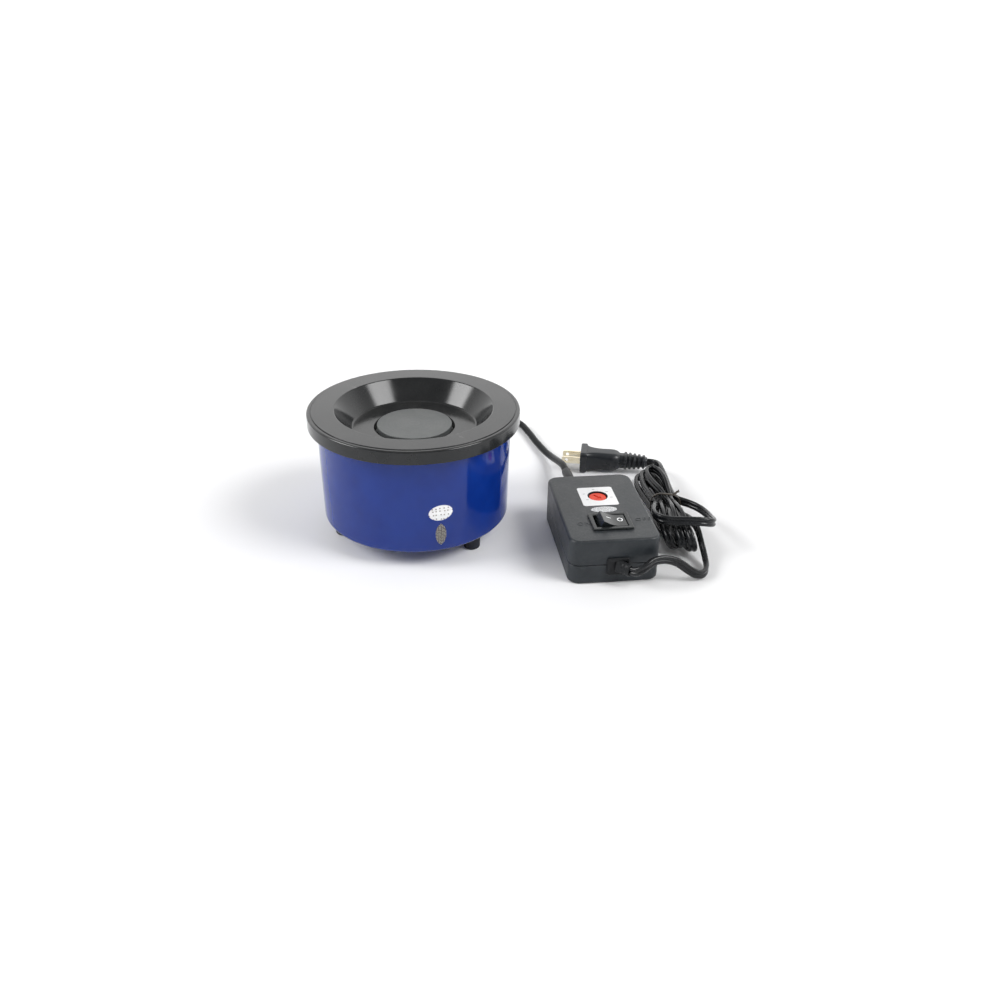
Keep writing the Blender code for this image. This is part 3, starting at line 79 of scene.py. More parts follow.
# Drum and lid
LID_RADIUS = 85.0
LID_TOP = 105.0
LID_SKIRT_BOTTOM = 93.8
DRUM_BOTTOM = 13.0
DRUM_TOP = 102.2
DRUM_BOTTOM_RADIUS = 75.7
DRUM_TOP_RADIUS = 77.9
FOOT_CIRCLE = 62.4
FOOT_ANGLES = (-40, 80, 200)
DRUM_RELIEF_ANGLE = math.radians(95)
DRUM_RELIEF_HEIGHT = 26.0
STICKER_ANGLE = -70.5
STICKER_LIFT = 0.14
LID_STEP = 104.5
BASIN_FLOOR = 88.2

# The rubber reliefs of the round lead, and the ports that they pass through
RELIEF_PORT_RADIUS = 5.3
RELIEF_FLANGE_RADIUS = 7.2
RELIEF_FLANGE = 1.5
RELIEF_NECK_RADIUS = 5.0
RELIEF_ROOT_RADIUS = 5.4
RELIEF_TIP_RADIUS = 4.0
GROOVE_DEPTH = 0.7

# Control box, from its own centre
BOX_WIDTH = 70.5
BOX_LENGTH = 109.4
BOX_HEIGHT = 37.1
BOX_SEAM = 16.0
BOX_WALL = 2.2
BOX_CORNER = 9.0
BOX_EDGE = 2.2
BOX_POST_REACH = (25.75, 45.2)
SCREW_BORE_RADIUS = 1.7
SEAM_HALF = 0.22
SWITCH_PLACE = (1.2, -27.3)
SWITCH_SIZE = (31.8, 25.3)
SWITCH_OPENING = (24.8, 18.3)
SWITCH_TOP = 38.9
ROCKER_PIVOT = 31.7
ROCKER_TILT = math.radians(14)
ROCKER_FACE = 6.8
ROCKER_CURVE = 20.0
KNOB_PLACE = (0.4, 16.4)
KNOB_TOP = 36.3
DC_RELIEF_PLACE = (-8.0, 16.0)
MAINS_RELIEF_PLACE = (2.0, 14.8)
MAINS_RELIEF_TURN = math.radians(45)

# Plug, whose own origin is where the lead enters it; its blades point along -x
PLUG_PLACE = WHEEL_AXIS + Vector((0.2060, 0.1000, 0.0103))
PLUG_TURN = math.radians(-7)

# Leads: a round one to the motor, and a flat one of two cores for the mains
DC_RADIUS = 3.25
CORE_RADIUS = 1.85
CORD_RING_SPACING = 0.0016
SMOOTHING_PASSES = 5

# Which way the wide side of the flat lead stands
EDGE = (0, 0, 1)
FLAT = (1, 0, 0)
BAND = (0, 0.5, 0.87)
LEAN = (0.5, 0, 0.87)

DC_ROUTE = [
    (-0.0088, 0.1005, 0.0260),
    (-0.0101, 0.1150, 0.0254),
    (-0.0105, 0.1320, 0.0190),
    (-0.0050, 0.1540, 0.0090),
    (0.0080, 0.1770, 0.0040),
    (0.0270, 0.1990, 0.0033),
    (0.0500, 0.2130, 0.0033),
    (0.0720, 0.2130, 0.0033),
    (0.0870, 0.2020, 0.0033),
    (0.0960, 0.1800, 0.0035),
    (0.1040, 0.1540, 0.0040),
    (0.1120, 0.1300, 0.0052),
    (0.1180, 0.1130, 0.0076),
    (0.1226, 0.0970, 0.0114),
    (0.1265, 0.0810, 0.0150),
    (0.1291, 0.0634, 0.0160),
]

# The mains lead: its free part from the box to the hank
MAINS_ROUTE = [
    (0.1690, -0.0962, 0.0144, EDGE),
    (0.1711, -0.0978, 0.0144, EDGE),
    (0.1731, -0.0993, 0.0146, EDGE),
    (0.1758, -0.1004, 0.0166, EDGE),
    (0.1812, -0.0988, 0.0194, EDGE),
    (0.1860, -0.0948, 0.0217, EDGE),
    (0.1912, -0.0925, 0.0221, EDGE),
    (0.1968, -0.0905, 0.0213, EDGE),
    (0.2023, -0.0890, 0.0195, EDGE),
    (0.2079, -0.0880, 0.0164, EDGE),
    (0.2153, -0.0873, 0.0104, EDGE),
    (0.2225, -0.0860, 0.0056, EDGE),
    (0.2280, -0.0828, 0.0041, EDGE),
    (0.2313, -0.0765, 0.0041, EDGE),
    (0.2326, -0.0690, 0.0046, EDGE),
    (0.2325, -0.0615, 0.0068, EDGE),
    (0.2318, -0.0555, 0.0098, EDGE),
]

# The hank: each turn goes back under the tie, round behind it, and forward to a fold in front
HANK_ROUTE = [
    (0.2308, -0.0470, 0.0140, EDGE),
    (0.2295, -0.0340, 0.0175, EDGE),
    (0.2265, -0.0160, 0.0150, EDGE),
    (0.2216, 0.0000, 0.0100, EDGE),
    (0.2195, 0.0110, 0.0070, EDGE),
    (0.2170, 0.0280, 0.0065, EDGE),
    (0.2140, 0.0460, 0.0065, EDGE),
    (0.2115, 0.0620, 0.0065, EDGE),
    (0.2070, 0.0740, 0.0065, EDGE),
    (0.2000, 0.0785, 0.0065, EDGE),
    (0.1936, 0.0730, 0.0065, EDGE),
    (0.1923, 0.0600, 0.0065, EDGE),
    (0.1945, 0.0440, 0.0065, EDGE),
    (0.1985, 0.0270, 0.0067, EDGE),
    (0.2015, 0.0110, 0.0070, EDGE),
    (0.2025, -0.0040, 0.0060, LEAN),
    (0.2060, -0.0200, 0.0043, FLAT),
    (0.2105, -0.0340, 0.0042, FLAT),
    (0.2115, -0.0430, 0.0046, FLAT),
    (0.2085, -0.0485, 0.0085, FLAT),
    (0.2050, -0.0490, 0.0150, FLAT),
    (0.2020, -0.0445, 0.0215, FLAT),
    (0.2012, -0.0340, 0.0250, FLAT),
    (0.2022, -0.0180, 0.0245, LEAN),
    (0.2042, -0.0020, 0.0205, EDGE),
    (0.2060, 0.0110, 0.0165, EDGE),
    (0.2085, 0.0270, 0.0120, EDGE),
    (0.2088, 0.0440, 0.0072, EDGE),
    (0.2074, 0.0575, 0.0066, EDGE),
    (0.2034, 0.0655, 0.0066, EDGE),
    (0.1990, 0.0620, 0.0066, EDGE),
    (0.1982, 0.0500, 0.0066, EDGE),
    (0.2003, 0.0380, 0.0068, EDGE),
    (0.2035, 0.0250, 0.0070, EDGE),
    (0.2060, 0.0110, 0.0070, EDGE),
    (0.2095, -0.0040, 0.0056, LEAN),
    (0.2145, -0.0200, 0.0043, FLAT),
    (0.2205, -0.0360, 0.0042, FLAT),
    (0.2240, -0.0470, 0.0046, FLAT),
    (0.2242, -0.0536, 0.0090, FLAT),
    (0.2224, -0.0535, 0.0160, FLAT),
    (0.2196, -0.0480, 0.0225, FLAT),
    (0.2175, -0.0360, 0.0255, FLAT),
    (0.2160, -0.0200, 0.0255, LEAN),
    (0.2155, -0.0040, 0.0220, EDGE),
    (0.2155, 0.0110, 0.0173, EDGE),
    (0.2145, 0.0260, 0.0190, EDGE),
    (0.2130, 0.0420, 0.0225, EDGE),
    (0.2095, 0.0550, 0.0233, EDGE),
    (0.2045, 0.0610, 0.0233, EDGE),
    (0.1998, 0.0570, 0.0233, EDGE),
    (0.1990, 0.0460, 0.0232, EDGE),
    (0.2026, 0.0320, 0.0225, EDGE),
    (0.2070, 0.0205, 0.0218, EDGE),
    (0.2107, 0.0110, 0.0188, EDGE),
    (0.2112, -0.0040, 0.0225, EDGE),
    (0.2100, -0.0190, 0.0262, LEAN),
    (0.2096, -0.0340, 0.0258, FLAT),
    (0.2112, -0.0450, 0.0235, FLAT),
    (0.2145, -0.0515, 0.0165, FLAT),
    (0.2165, -0.0522, 0.0100, FLAT),
    (0.2168, -0.0460, 0.0082, FLAT),
    (0.2150, -0.0350, 0.0084, FLAT),
    (0.2120, -0.0180, 0.0090, LEAN),
    (0.2110, -0.0040, 0.0080, EDGE),
    (0.2107, 0.0110, 0.0072, EDGE),
    (0.2130, 0.0270, 0.0105, EDGE),
    (0.2112, 0.0440, 0.0148, EDGE),
    (0.2075, 0.0600, 0.0150, EDGE),
    (0.2025, 0.0685, 0.0150, EDGE),
    (0.1970, 0.0660, 0.0150, EDGE),
    (0.1955, 0.0540, 0.0150, EDGE),
    (0.1962, 0.0400, 0.0154, EDGE),
    (0.1985, 0.0250, 0.0165, EDGE),
    (0.2012, 0.0110, 0.0168, EDGE),
    (0.1995, -0.0040, 0.0220, EDGE),
    (0.1965, -0.0180, 0.0270, EDGE),
    (0.1940, -0.0310, 0.0295, EDGE),
    (0.1950, -0.0410, 0.0306, EDGE),
    (0.2005, -0.0468, 0.0310, BAND),
    (0.2100, -0.0480, 0.0310, BAND),
    (0.2220, -0.0480, 0.0310, BAND),
    (0.2315, -0.0475, 0.0304, BAND),
    (0.2385, -0.0445, 0.0280, EDGE),
    (0.2422, -0.0370, 0.0245, EDGE),
    (0.2430, -0.0250, 0.0200, EDGE),
    (0.2422, -0.0120, 0.0172, EDGE),
    (0.2375, 0.0000, 0.0165, EDGE),
    (0.2295, 0.0080, 0.0168, EDGE),
    (0.2203, 0.0140, 0.0172, EDGE),
    (0.2183, 0.0260, 0.0160, EDGE),
]

# The mains lead's last part, from the hank to the plug
TAIL_ROUTE = [
    (0.2180, 0.0420, 0.0145, EDGE),
    (0.2178, 0.0580, 0.0136, EDGE),
    (0.2172, 0.0720, 0.0132, EDGE),
    (0.2164, 0.0825, 0.0130, EDGE),
    (0.2162, 0.0905, 0.0118, EDGE),
    (0.2144, 0.0960, 0.0109, EDGE),
    (0.2110, 0.0990, 0.0104, EDGE),
    (0.2066, 0.0999, 0.0103, EDGE),
    (0.2030, 0.1003, 0.0103, EDGE),
]


# ---------------------------------------------------------------- camera


def make_camera():
    camera = bpy.data.objects.new("camera", bpy.data.cameras.new("camera"))
    bpy.context.scene.collection.objects.link(camera)
    camera.data.lens = CAMERA_LENS
    camera.data.shift_x, camera.data.shift_y = CAMERA_SHIFT
    camera.data.clip_start = 0.01
    sine, cosine = math.sin(CAMERA_PITCH), math.cos(CAMERA_PITCH)
    right, up = Vector((1, 0, 0)), Vector((0, sine, cosine))
    back = Vector((0, -cosine, sine))
    rolled_right = math.cos(CAMERA_ROLL) * right + math.sin(CAMERA_ROLL) * up
    rolled_up = math.cos(CAMERA_ROLL) * up - math.sin(CAMERA_ROLL) * right
    turn = Matrix((rolled_right, rolled_up, back)).transposed().to_4x4()
    camera.matrix_world = Matrix.Translation(WHEEL_AXIS + CAMERA_PLACE) @ turn
    bpy.context.scene.camera = camera


# ---------------------------------------------------------------- building shapes


def new_piece(name, form, transform=None):
    """A new object from a bmesh, moved into place, with its faces turned outwards."""
    bmesh.ops.recalc_face_normals(form, faces=form.faces)
    mesh = bpy.data.meshes.new(name)
    form.to_mesh(mesh)
    form.free()
    if transform:
        mesh.transform(transform)
    obj = bpy.data.objects.new(name, mesh)
    bpy.context.scene.collection.objects.link(obj)
    return obj


def finished(obj, material, body, slot, *nodes, angle=32):
    """Gives a piece its finish, its body and the nodes that it stands for; its slot is not used.
    """
    obj.data.materials.clear()
    obj.data.materials.append(material)
    obj.data.shade_smooth()
    obj.data.set_sharp_from_angle(angle=math.radians(angle))
    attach(obj, body)
    if nodes:
        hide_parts(*nodes)
    return obj


def even_shading(obj):
    """Keeps the flat faces flat beside their rounded edges."""
    modifier = obj.modifiers.new("even_shading", "WEIGHTED_NORMAL")
    modifier.keep_sharp = True
    modifier.weight = 100
    return obj


def rounded(corners, closed=False, steps=5):
    """A line of (x, z) points in metres from (x, z, fillet) corners in millimetres."""
    points = []
    count = len(corners)
    for i, (x, z, fillet) in enumerate(corners):
        here = Vector((x, z))
        ends = not closed and i in (0, count - 1)
        if not fillet or ends:
            points.append(here * MM)
            continue
        before = Vector(corners[i - 1][:2]) - here
        after = Vector(corners[(i + 1) % count][:2]) - here
        half = before.angle(after) / 2
        reach = min(fillet / math.tan(half), 0.49 * before.length, 0.49 * after.length)
        radius = reach * math.tan(half)
        before.normalize()
        after.normalize()
        centre = here + (before + after).normalized() * (radius / math.sin(half))
        start = (here + before * reach - centre).normalized()
        end = (here + after * reach - centre).normalized()
        for k in range(steps + 1):
            points.append((centre + start.slerp(end, k / steps) * radius) * MM)
    return points


def turned(name, profile, transform=TO_WHEEL, steps=160, closed=False):
    """A solid turned about z from (radius, height) points in metres."""
    form = bmesh.new()
    turns = [2 * math.pi * i / steps for i in range(steps)]
    rings = []
    for radius, height in profile:
        if radius < 1e-6:
            rings.append([form.verts.new((0, 0, height))] * steps)
            continue
        rings.append([
            form.verts.new((radius * math.cos(turn), radius * math.sin(turn), height))
            for turn in turns
        ])
    pairs = list(zip(rings, rings[1:]))
    if closed:
        pairs.append((rings[-1], rings[0]))
    for low, high in pairs:
        for i in range(steps):
            j = (i + 1) % steps
            corners = list(dict.fromkeys((low[i], low[j], high[j], high[i])))
            if len(corners) > 2:
                form.faces.new(corners)
    return new_piece(name, form, transform)


def join_rings(form, low, high):
    for i in range(len(low)):
        j = (i + 1) % len(low)
        form.faces.new((low[i], low[j], high[j], high[i]))


def looped(name, rings, transform=None):
    """A solid through rings of points, whose last ring joins its first."""
    form = bmesh.new()
    rows = [[form.verts.new(point) for point in ring] for ring in rings]
    for low, high in zip(rows, rows[1:] + rows[:1]):
        join_rings(form, low, high)
    return new_piece(name, form, transform)


def lofted(name, rings, transform=None):
    """A solid through rings of points, with flat ends."""
    form = bmesh.new()
    rows = [[form.verts.new(point) for point in ring] for ring in rings]
    for low, high in zip(rows, rows[1:]):
        join_rings(form, low, high)
    form.faces.new(rows[0][::-1])
    form.faces.new(rows[-1])
    return new_piece(name, form, transform)


def round_rectangle(width, length, corner, steps=10, centre=(0, 0)):
    """A rectangle with round corners, anticlockwise, in millimetres."""
    points = []
    corner = max(corner, 0.01)
    for quarter, (side_x, side_y) in enumerate(((1, 1), (-1, 1), (-1, -1), (1, -1))):
        middle_x = centre[0] + side_x * (width / 2 - corner)
        middle_y = centre[1] + side_y * (length / 2 - corner)
        for i in range(steps + 1):
            turn = (quarter + i / steps) * math.pi / 2
            points.append((middle_x + corner * math.cos(turn),
                           middle_y + corner * math.sin(turn)))
    return points


def ellipse(width, length, centre=(0, 0), steps=64):
    turns = [2 * math.pi * i / steps for i in range(steps)]
    return [
        (centre[0] + width / 2 * math.cos(turn), centre[1] + length / 2 * math.sin(turn))
        for turn in turns
    ]


def at_height(outline, height):
    return [Vector((x, y, height)) * MM for x, y in outline]


def block_with_round_edges(name, width, length, corner, low, high, low_edge, high_edge,
                           transform, centre=(0, 0), steps=6):
    """A rounded block whose lower and upper outer edges are filleted."""
    rings = []
    for height, edge, side in ((low, low_edge, 1), (high, high_edge, -1)):
        for i in range(steps + 1):
            share = i / steps if side > 0 else 1 - i / steps
            inset = edge * (1 - math.sin(share * math.pi / 2))
            rise = edge * (1 - math.cos(share * math.pi / 2))
            outline = round_rectangle(width - 2 * inset, length - 2 * inset,
                                      corner - inset, 10, centre)
            rings.append(at_height(outline, height + side * rise))
            if not edge:
                break
    return lofted(name, rings, transform)


def prism(name, outline, low, high, transform=None):
    return lofted(name, [at_height(outline, low), at_height(outline, high)], transform)


def soft_prism(name, outline, low, high, edge, transform=None, steps=3):
    """A prism whose upper edge is rounded towards the outline's middle."""
    middle_x = sum(x for x, _ in outline) / len(outline)
    middle_y = sum(y for _, y in outline) / len(outline)
    reach = max(math.hypot(x - middle_x, y - middle_y) for x, y in outline)
    rings = [at_height(outline, low)]
    for i in range(steps + 1):
        turn = i / steps * math.pi / 2
        share = 1 - edge * (1 - math.cos(turn)) / reach
        ring = [(middle_x + (x - middle_x) * share, middle_y + (y - middle_y) * share)
                for x, y in outline]
        rings.append(at_height(ring, high - edge * (1 - math.sin(turn))))
    return lofted(name, rings, transform)


def cylinder(radius, low, high, centre=(0, 0), transform=None, steps=48):
    return prism("cutter", ellipse(2 * radius, 2 * radius, centre, steps), low, high,
                 transform)


def applied(obj):
    """Turns an object's modifiers into its mesh."""
    bpy.context.view_layer.update()
    graph = bpy.context.evaluated_depsgraph_get()
    mesh = bpy.data.meshes.new_from_object(obj.evaluated_get(graph))
    obj.modifiers.clear()
    obj.data = mesh
    return obj


def cut(obj, *others, operation="DIFFERENCE"):
    """Cuts the other solids from obj, or joins them to it, for good."""
    for other in others:
        modifier = obj.modifiers.new("cut", "BOOLEAN")
        modifier.operation = operation
        modifier.solver = "EXACT"
        modifier.object = other
    applied(obj)
    for other in others:
        bpy.data.objects.remove(other)
    return obj


def smooth_line(route):
    """A smooth, evenly spaced curve through a route's rows, with the values each carries."""
    rows = [Vector(row) for row in route]
    rows = [2 * rows[0] - rows[1]] + rows + [2 * rows[-1] - rows[-2]]
    fine = []
    for a, b, c, d in zip(rows, rows[1:], rows[2:], rows[3:]):
        for i in range(16):
            t = i / 16
            fine.append(
                0.5 * (2 * b + (c - a) * t + (2 * a - 5 * b + 4 * c - d) * t * t
                       + (3 * b - a - 3 * c + d) * t * t * t)
            )
    fine.append(rows[-2])
    line = evenly_spaced(fine)
    for _ in range(SMOOTHING_PASSES):
        inner = [(a + 2 * b + c) / 4 for a, b, c in zip(line, line[1:], line[2:])]
        line = [line[0], *inner, line[-1]]
    return line


def evenly_spaced(rows):
    """The same line with its points a ring's spacing apart."""
    places = [Vector(row[:3]) for row in rows]
    count = round(line_length(places) / CORD_RING_SPACING)
    step = line_length(places) / count
    line, walked = [rows[0]], 0.0
    for before, after, a, b in zip(rows, rows[1:], places, places[1:]):
        length = (b - a).length
        while length and walked + length >= len(line) * step and len(line) < count:
            line.append(before.lerp(after, (len(line) * step - walked) / length))
        walked += length
    return line + [rows[-1]]


def swept(name, centres, wides, section):
    """A tube whose section, in millimetres, is wide along its first number."""
    rings = []
    last = len(centres) - 1
    for i, (centre, wide) in enumerate(zip(centres, wides)):
        along = (centres[min(i + 1, last)] - centres[max(i - 1, 0)]).normalized()
        across = (wide - along * wide.dot(along)).normalized()
        narrow = along.cross(across)
        rings.append([centre + (across * w + narrow * n) * MM for w, n in section])
    return lofted(name, rings)


def line_length(points):
    return sum((b - a).length for a, b in zip(points, points[1:]))


# ---------------------------------------------------------------- shared surface effects


def new_group(name, inputs, outputs):
    """A shader node group with its sockets; it gives the nodes that hold them."""
    group = bpy.data.node_groups.new(name, "ShaderNodeTree")
    for label, kind, value in inputs:
        socket = group.interface.new_socket(name=label, in_out="INPUT", socket_type=kind)
        if value is not None:
            socket.default_value = value
    for label, kind in outputs:
        group.interface.new_socket(name=label, in_out="OUTPUT", socket_type=kind)
    return group, group.nodes.new("NodeGroupInput"), group.nodes.new("NodeGroupOutput")


def noise(tree, place, size, detail=2.0, roughness=0.5):
    """A noise node; size is a number, or a socket that gives it."""
    node = tree.nodes.new("ShaderNodeTexNoise")
    node.inputs["Detail"].default_value = detail
    node.inputs["Roughness"].default_value = roughness
    tree.links.new(place, node.inputs["Vector"])
    if isinstance(size, (int, float)):
        node.inputs["Scale"].default_value = size
    else:
        tree.links.new(size, node.inputs["Scale"])
    return node.outputs["Fac"]


def spread(tree, value, low, high, to_low=0.0, to_high=1.0, smooth=False):
    """A value from one range brought to another."""
    node = tree.nodes.new("ShaderNodeMapRange")
    if smooth:
        node.interpolation_type = "SMOOTHSTEP"
    for label, number in (("From Min", low), ("From Max", high),
                          ("To Min", to_low), ("To Max", to_high)):
        node.inputs[label].default_value = number
    tree.links.new(value, node.inputs["Value"])
    return node.outputs["Result"]


def maths(tree, operation, first, second):
    node = tree.nodes.new("ShaderNodeMath")
    node.operation = operation
    for socket, value in zip(node.inputs, (first, second)):
        if isinstance(value, (int, float)):
            socket.default_value = value
        else:
            tree.links.new(value, socket)
    return node.outputs["Value"]


def mixed(tree, factor, first, second):
    """A mix of two colours, each a tuple or a socket."""
    node = tree.nodes.new("ShaderNodeMix")
    node.data_type = "RGBA"
    tree.links.new(factor, node.inputs["Factor"])
    for label, value in (("A", first), ("B", second)):
        socket = next(s for s in node.inputs if s.name == label and s.type == "RGBA")
        if isinstance(value, tuple):
            socket.default_value = (*value, 1)
        else:
            tree.links.new(value, socket)
    return next(s for s in node.outputs if s.type == "RGBA")


def make_mottle_group():
    """Slow cloudiness over a surface, from 0 to 1."""
    group, given, result = new_group(
        "surface_mottle",
        [("Place", "NodeSocketVector", None), ("Size", "NodeSocketFloat", 60.0)],
        [("Mask", "NodeSocketFloat")],
    )
    clouds = noise(group, given.outputs["Place"], given.outputs["Size"], 3.0, 0.55)
    group.links.new(spread(group, clouds, 0.32, 0.68), result.inputs["Mask"])
    return group


def make_grain_group():
    """The fine tooth of a moulded or sprayed surface, as a height."""
    group, given, result = new_group(
        "moulded_grain",
        [("Place", "NodeSocketVector", None), ("Size", "NodeSocketFloat", 2500.0)],
        [("Height", "NodeSocketFloat")],
    )
    fine = noise(group, given.outputs["Place"], given.outputs["Size"], 2.0)
    wider = maths(group, "MULTIPLY", given.outputs["Size"], 0.18)
    coarse = noise(group, given.outputs["Place"], wider, 1.0)
    half = maths(group, "MULTIPLY", coarse, 0.6)
    group.links.new(maths(group, "ADD", fine, half), result.inputs["Height"])
    return group


def make_dust_group():
    """Dust that has settled on faces that look up, as a mask."""
    group, given, result = new_group(
        "settled_dust",
        [("Place", "NodeSocketVector", None), ("Amount", "NodeSocketFloat", 0.2)],
        [("Mask", "NodeSocketFloat")],
    )
    normal = group.nodes.new("ShaderNodeNewGeometry").outputs["Normal"]
    parts = group.nodes.new("ShaderNodeSeparateXYZ")
    group.links.new(normal, parts.inputs["Vector"])
    upward = spread(group, parts.outputs["Z"], 0.35, 1.0)
    specks = noise(group, given.outputs["Place"], 900.0, 4.0, 0.7)
    clumps = spread(group, specks, 0.5, 0.78)
    film = spread(group, noise(group, given.outputs["Place"], 45.0, 2.0), 0.3, 0.8, 0.15, 0.5)
    cover = maths(group, "MULTIPLY", maths(group, "ADD", clumps, film), upward)
    amount = maths(group, "MULTIPLY", cover, given.outputs["Amount"])
    group.links.new(amount, result.inputs["Mask"])
    return group


def make_wear_group():
    """Rubbed convex edges, as a mask."""
    group, given, result = new_group(
        "rubbed_edges",
        [("Place", "NodeSocketVector", None), ("Amount", "NodeSocketFloat", 0.3)],
        [("Mask", "NodeSocketFloat")],
    )
    sharpness = group.nodes.new("ShaderNodeNewGeometry").outputs["Pointiness"]
    edge = spread(group, sharpness, 0.515, 0.60)
    patches = spread(group, noise(group, given.outputs["Place"], 260.0, 3.0), 0.35, 0.7)
    rubbed = maths(group, "MULTIPLY", edge, patches)
    amount = maths(group, "MULTIPLY", rubbed, given.outputs["Amount"])
    group.links.new(amount, result.inputs["Mask"])
    return group


MOTTLE = make_mottle_group()
GRAIN = make_grain_group()
DUST = make_dust_group()
WEAR = make_wear_group()


def placed(tree, group, place, **values):
    """A shared effect put in a material with its own values."""
    node = tree.nodes.new("ShaderNodeGroup")
    node.node_tree = group
    tree.links.new(place, node.inputs["Place"])
    for label, value in values.items():
        node.inputs[label].default_value = value
    return node.outputs[0]


def start_material(name):
    """A material with its tree, its shader and the place on the object."""
    material = bpy.data.materials.new(name)
    material.use_nodes = True
    tree = material.node_tree
    shader = tree.nodes["Principled BSDF"]
    place = tree.nodes.new("ShaderNodeTexCoord").outputs["Object"]
    return material, tree, shader, place


def bumped(tree, shader, height, depth):
    bump = tree.nodes.new("ShaderNodeBump")
    bump.inputs["Distance"].default_value = depth
    tree.links.new(height, bump.inputs["Height"])
    tree.links.new(bump.outputs["Normal"], shader.inputs["Normal"])


def finish(name, dark, light, roughness, grain, mottle=60.0, dust=0.0, wear=0.0,
           wear_colour=(0.3, 0.3, 0.3), dust_colour=(0.42, 0.40, 0.37), metallic=0.0,
           coat=0.0, coat_roughness=0.05, specular=0.5):
    """A moulded, sprayed or machined finish: clouded colour and gloss, grain, dust and wear."""
    material, tree, shader, place = start_material(name)
    mask = placed(tree, MOTTLE, place, Size=mottle)
    colour = mixed(tree, mask, dark, light)
    if wear:
        colour = mixed(tree, placed(tree, WEAR, place, Amount=wear), colour, wear_colour)
    if dust:
        colour = mixed(tree, placed(tree, DUST, place, Amount=dust), colour, dust_colour)
    tree.links.new(colour, shader.inputs["Base Color"])
    gloss = spread(tree, mask, 0.0, 1.0, *roughness)
    tree.links.new(gloss, shader.inputs["Roughness"])
    size, depth = grain
    bumped(tree, shader, placed(tree, GRAIN, place, Size=size), depth)
    shader.inputs["Metallic"].default_value = metallic
    shader.inputs["Specular IOR Level"].default_value = specular
    shader.inputs["Coat Weight"].default_value = coat
    shader.inputs["Coat Roughness"].default_value = coat_roughness
    return material


# ---------------------------------------------------------------- finishes of this object

LID_BLACK = finish("lid_black", (0.008, 0.009, 0.010), (0.014, 0.015, 0.016), (0.10, 0.16),
                   (1800.0, 0.00001), dust=0.06, wear=0.25, specular=0.42)
BLUE_ENAMEL = finish("blue_enamel", (0.002, 0.020, 0.175), (0.004, 0.030, 0.225), (0.07, 0.12),
                     (700.0, 0.000008), mottle=25.0, dust=0.03, specular=0.38,
                     wear=0.15, wear_colour=(0.10, 0.20, 0.55))
BOX_GREY = finish("box_grey", (0.014, 0.018, 0.022), (0.022, 0.027, 0.032), (0.32, 0.42),
                  (2200.0, 0.00005), dust=0.10, wear=0.35, wear_colour=(0.14, 0.145, 0.15),
                  specular=0.36)
SWITCH_BLACK = finish("switch_black", (0.007, 0.009, 0.010), (0.013, 0.016, 0.017),
                      (0.22, 0.32), (1500.0, 0.000012), dust=0.05, wear=0.3,
                      wear_colour=(0.12, 0.13, 0.13), specular=0.4)
ROCKER_BLACK = finish("rocker_black", (0.006, 0.008, 0.009), (0.012, 0.015, 0.016),
                      (0.18, 0.28), (1500.0, 0.000012), dust=0.06, specular=0.45)
KNOB_RED = finish("knob_red", (0.78, 0.040, 0.012), (0.92, 0.065, 0.020), (0.36, 0.46),
                  (1500.0, 0.00002), mottle=140.0, dust=0.02, wear=0.4,
                  wear_colour=(0.95, 0.22, 0.10), specular=0.3)
FOOT_RUBBER = finish("foot_rubber", (0.006, 0.007, 0.012), (0.014, 0.016, 0.024), (0.5, 0.65),
                     (1600.0, 0.00005), dust=0.08, specular=0.35)
RELIEF_RUBBER = finish("relief_rubber", (0.007, 0.008, 0.009), (0.014, 0.015, 0.017),
                       (0.36, 0.46), (1400.0, 0.00003), dust=0.02, specular=0.22)
MAINS_PVC = finish("mains_pvc", (0.004, 0.005, 0.006), (0.009, 0.010, 0.012), (0.20, 0.30),
                   (900.0, 0.00002), mottle=90.0, dust=0.03, specular=0.36)
MOTOR_LEAD_PVC = finish("motor_lead_pvc", (0.003, 0.004, 0.005), (0.007, 0.008, 0.009),
                        (0.14, 0.20), (700.0, 0.000008), mottle=70.0, specular=0.06)
TIE_COVER = finish("tie_cover", (0.024, 0.019, 0.014), (0.065, 0.052, 0.040), (0.40, 0.55),
                   (1500.0, 0.00004), mottle=300.0)
PLUG_BLACK = finish("plug_black", (0.011, 0.013, 0.016), (0.019, 0.022, 0.026), (0.26, 0.36),
                    (1500.0, 0.00003), dust=0.04, wear=0.2, specular=0.38)
LABEL_WHITE = finish("label_white", (0.90, 0.90, 0.90), (0.95, 0.95, 0.95), (0.40, 0.50),
                     (1400.0, 0.00001), mottle=120.0, dust=0.04)
MARK_WHITE = finish("mark_white", (0.78, 0.80, 0.81), (0.92, 0.93, 0.93), (0.40, 0.55),
                    (2500.0, 0.00002), mottle=900.0)
TICK_GREY = finish("tick_grey", (0.30, 0.31, 0.32), (0.50, 0.51, 0.52), (0.5, 0.6),
                   (2500.0, 0.00001), mottle=900.0)
ZINC = finish("zinc_plate", (0.50, 0.51, 0.53), (0.66, 0.67, 0.68), (0.26, 0.42),
              (900.0, 0.00002), mottle=160.0, metallic=1.0)
STEEL = finish("bright_steel", (0.46, 0.46, 0.47), (0.62, 0.62, 0.63), (0.18, 0.30),
               (1300.0, 0.00001), mottle=200.0, metallic=1.0)
BRASS = finish("worn_brass", (0.78, 0.68, 0.46), (0.92, 0.86, 0.70), (0.14, 0.28),
               (1100.0, 0.00002), mottle=220.0, metallic=1.0)
COPPER = finish("copper_wire", (0.55, 0.20, 0.08), (0.78, 0.36, 0.18), (0.28, 0.42),
                (2600.0, 0.00008), mottle=300.0, metallic=1.0)
FERRITE = finish("ferrite", (0.040, 0.040, 0.044), (0.085, 0.085, 0.090), (0.5, 0.7),
                 (1600.0, 0.00005), mottle=200.0)
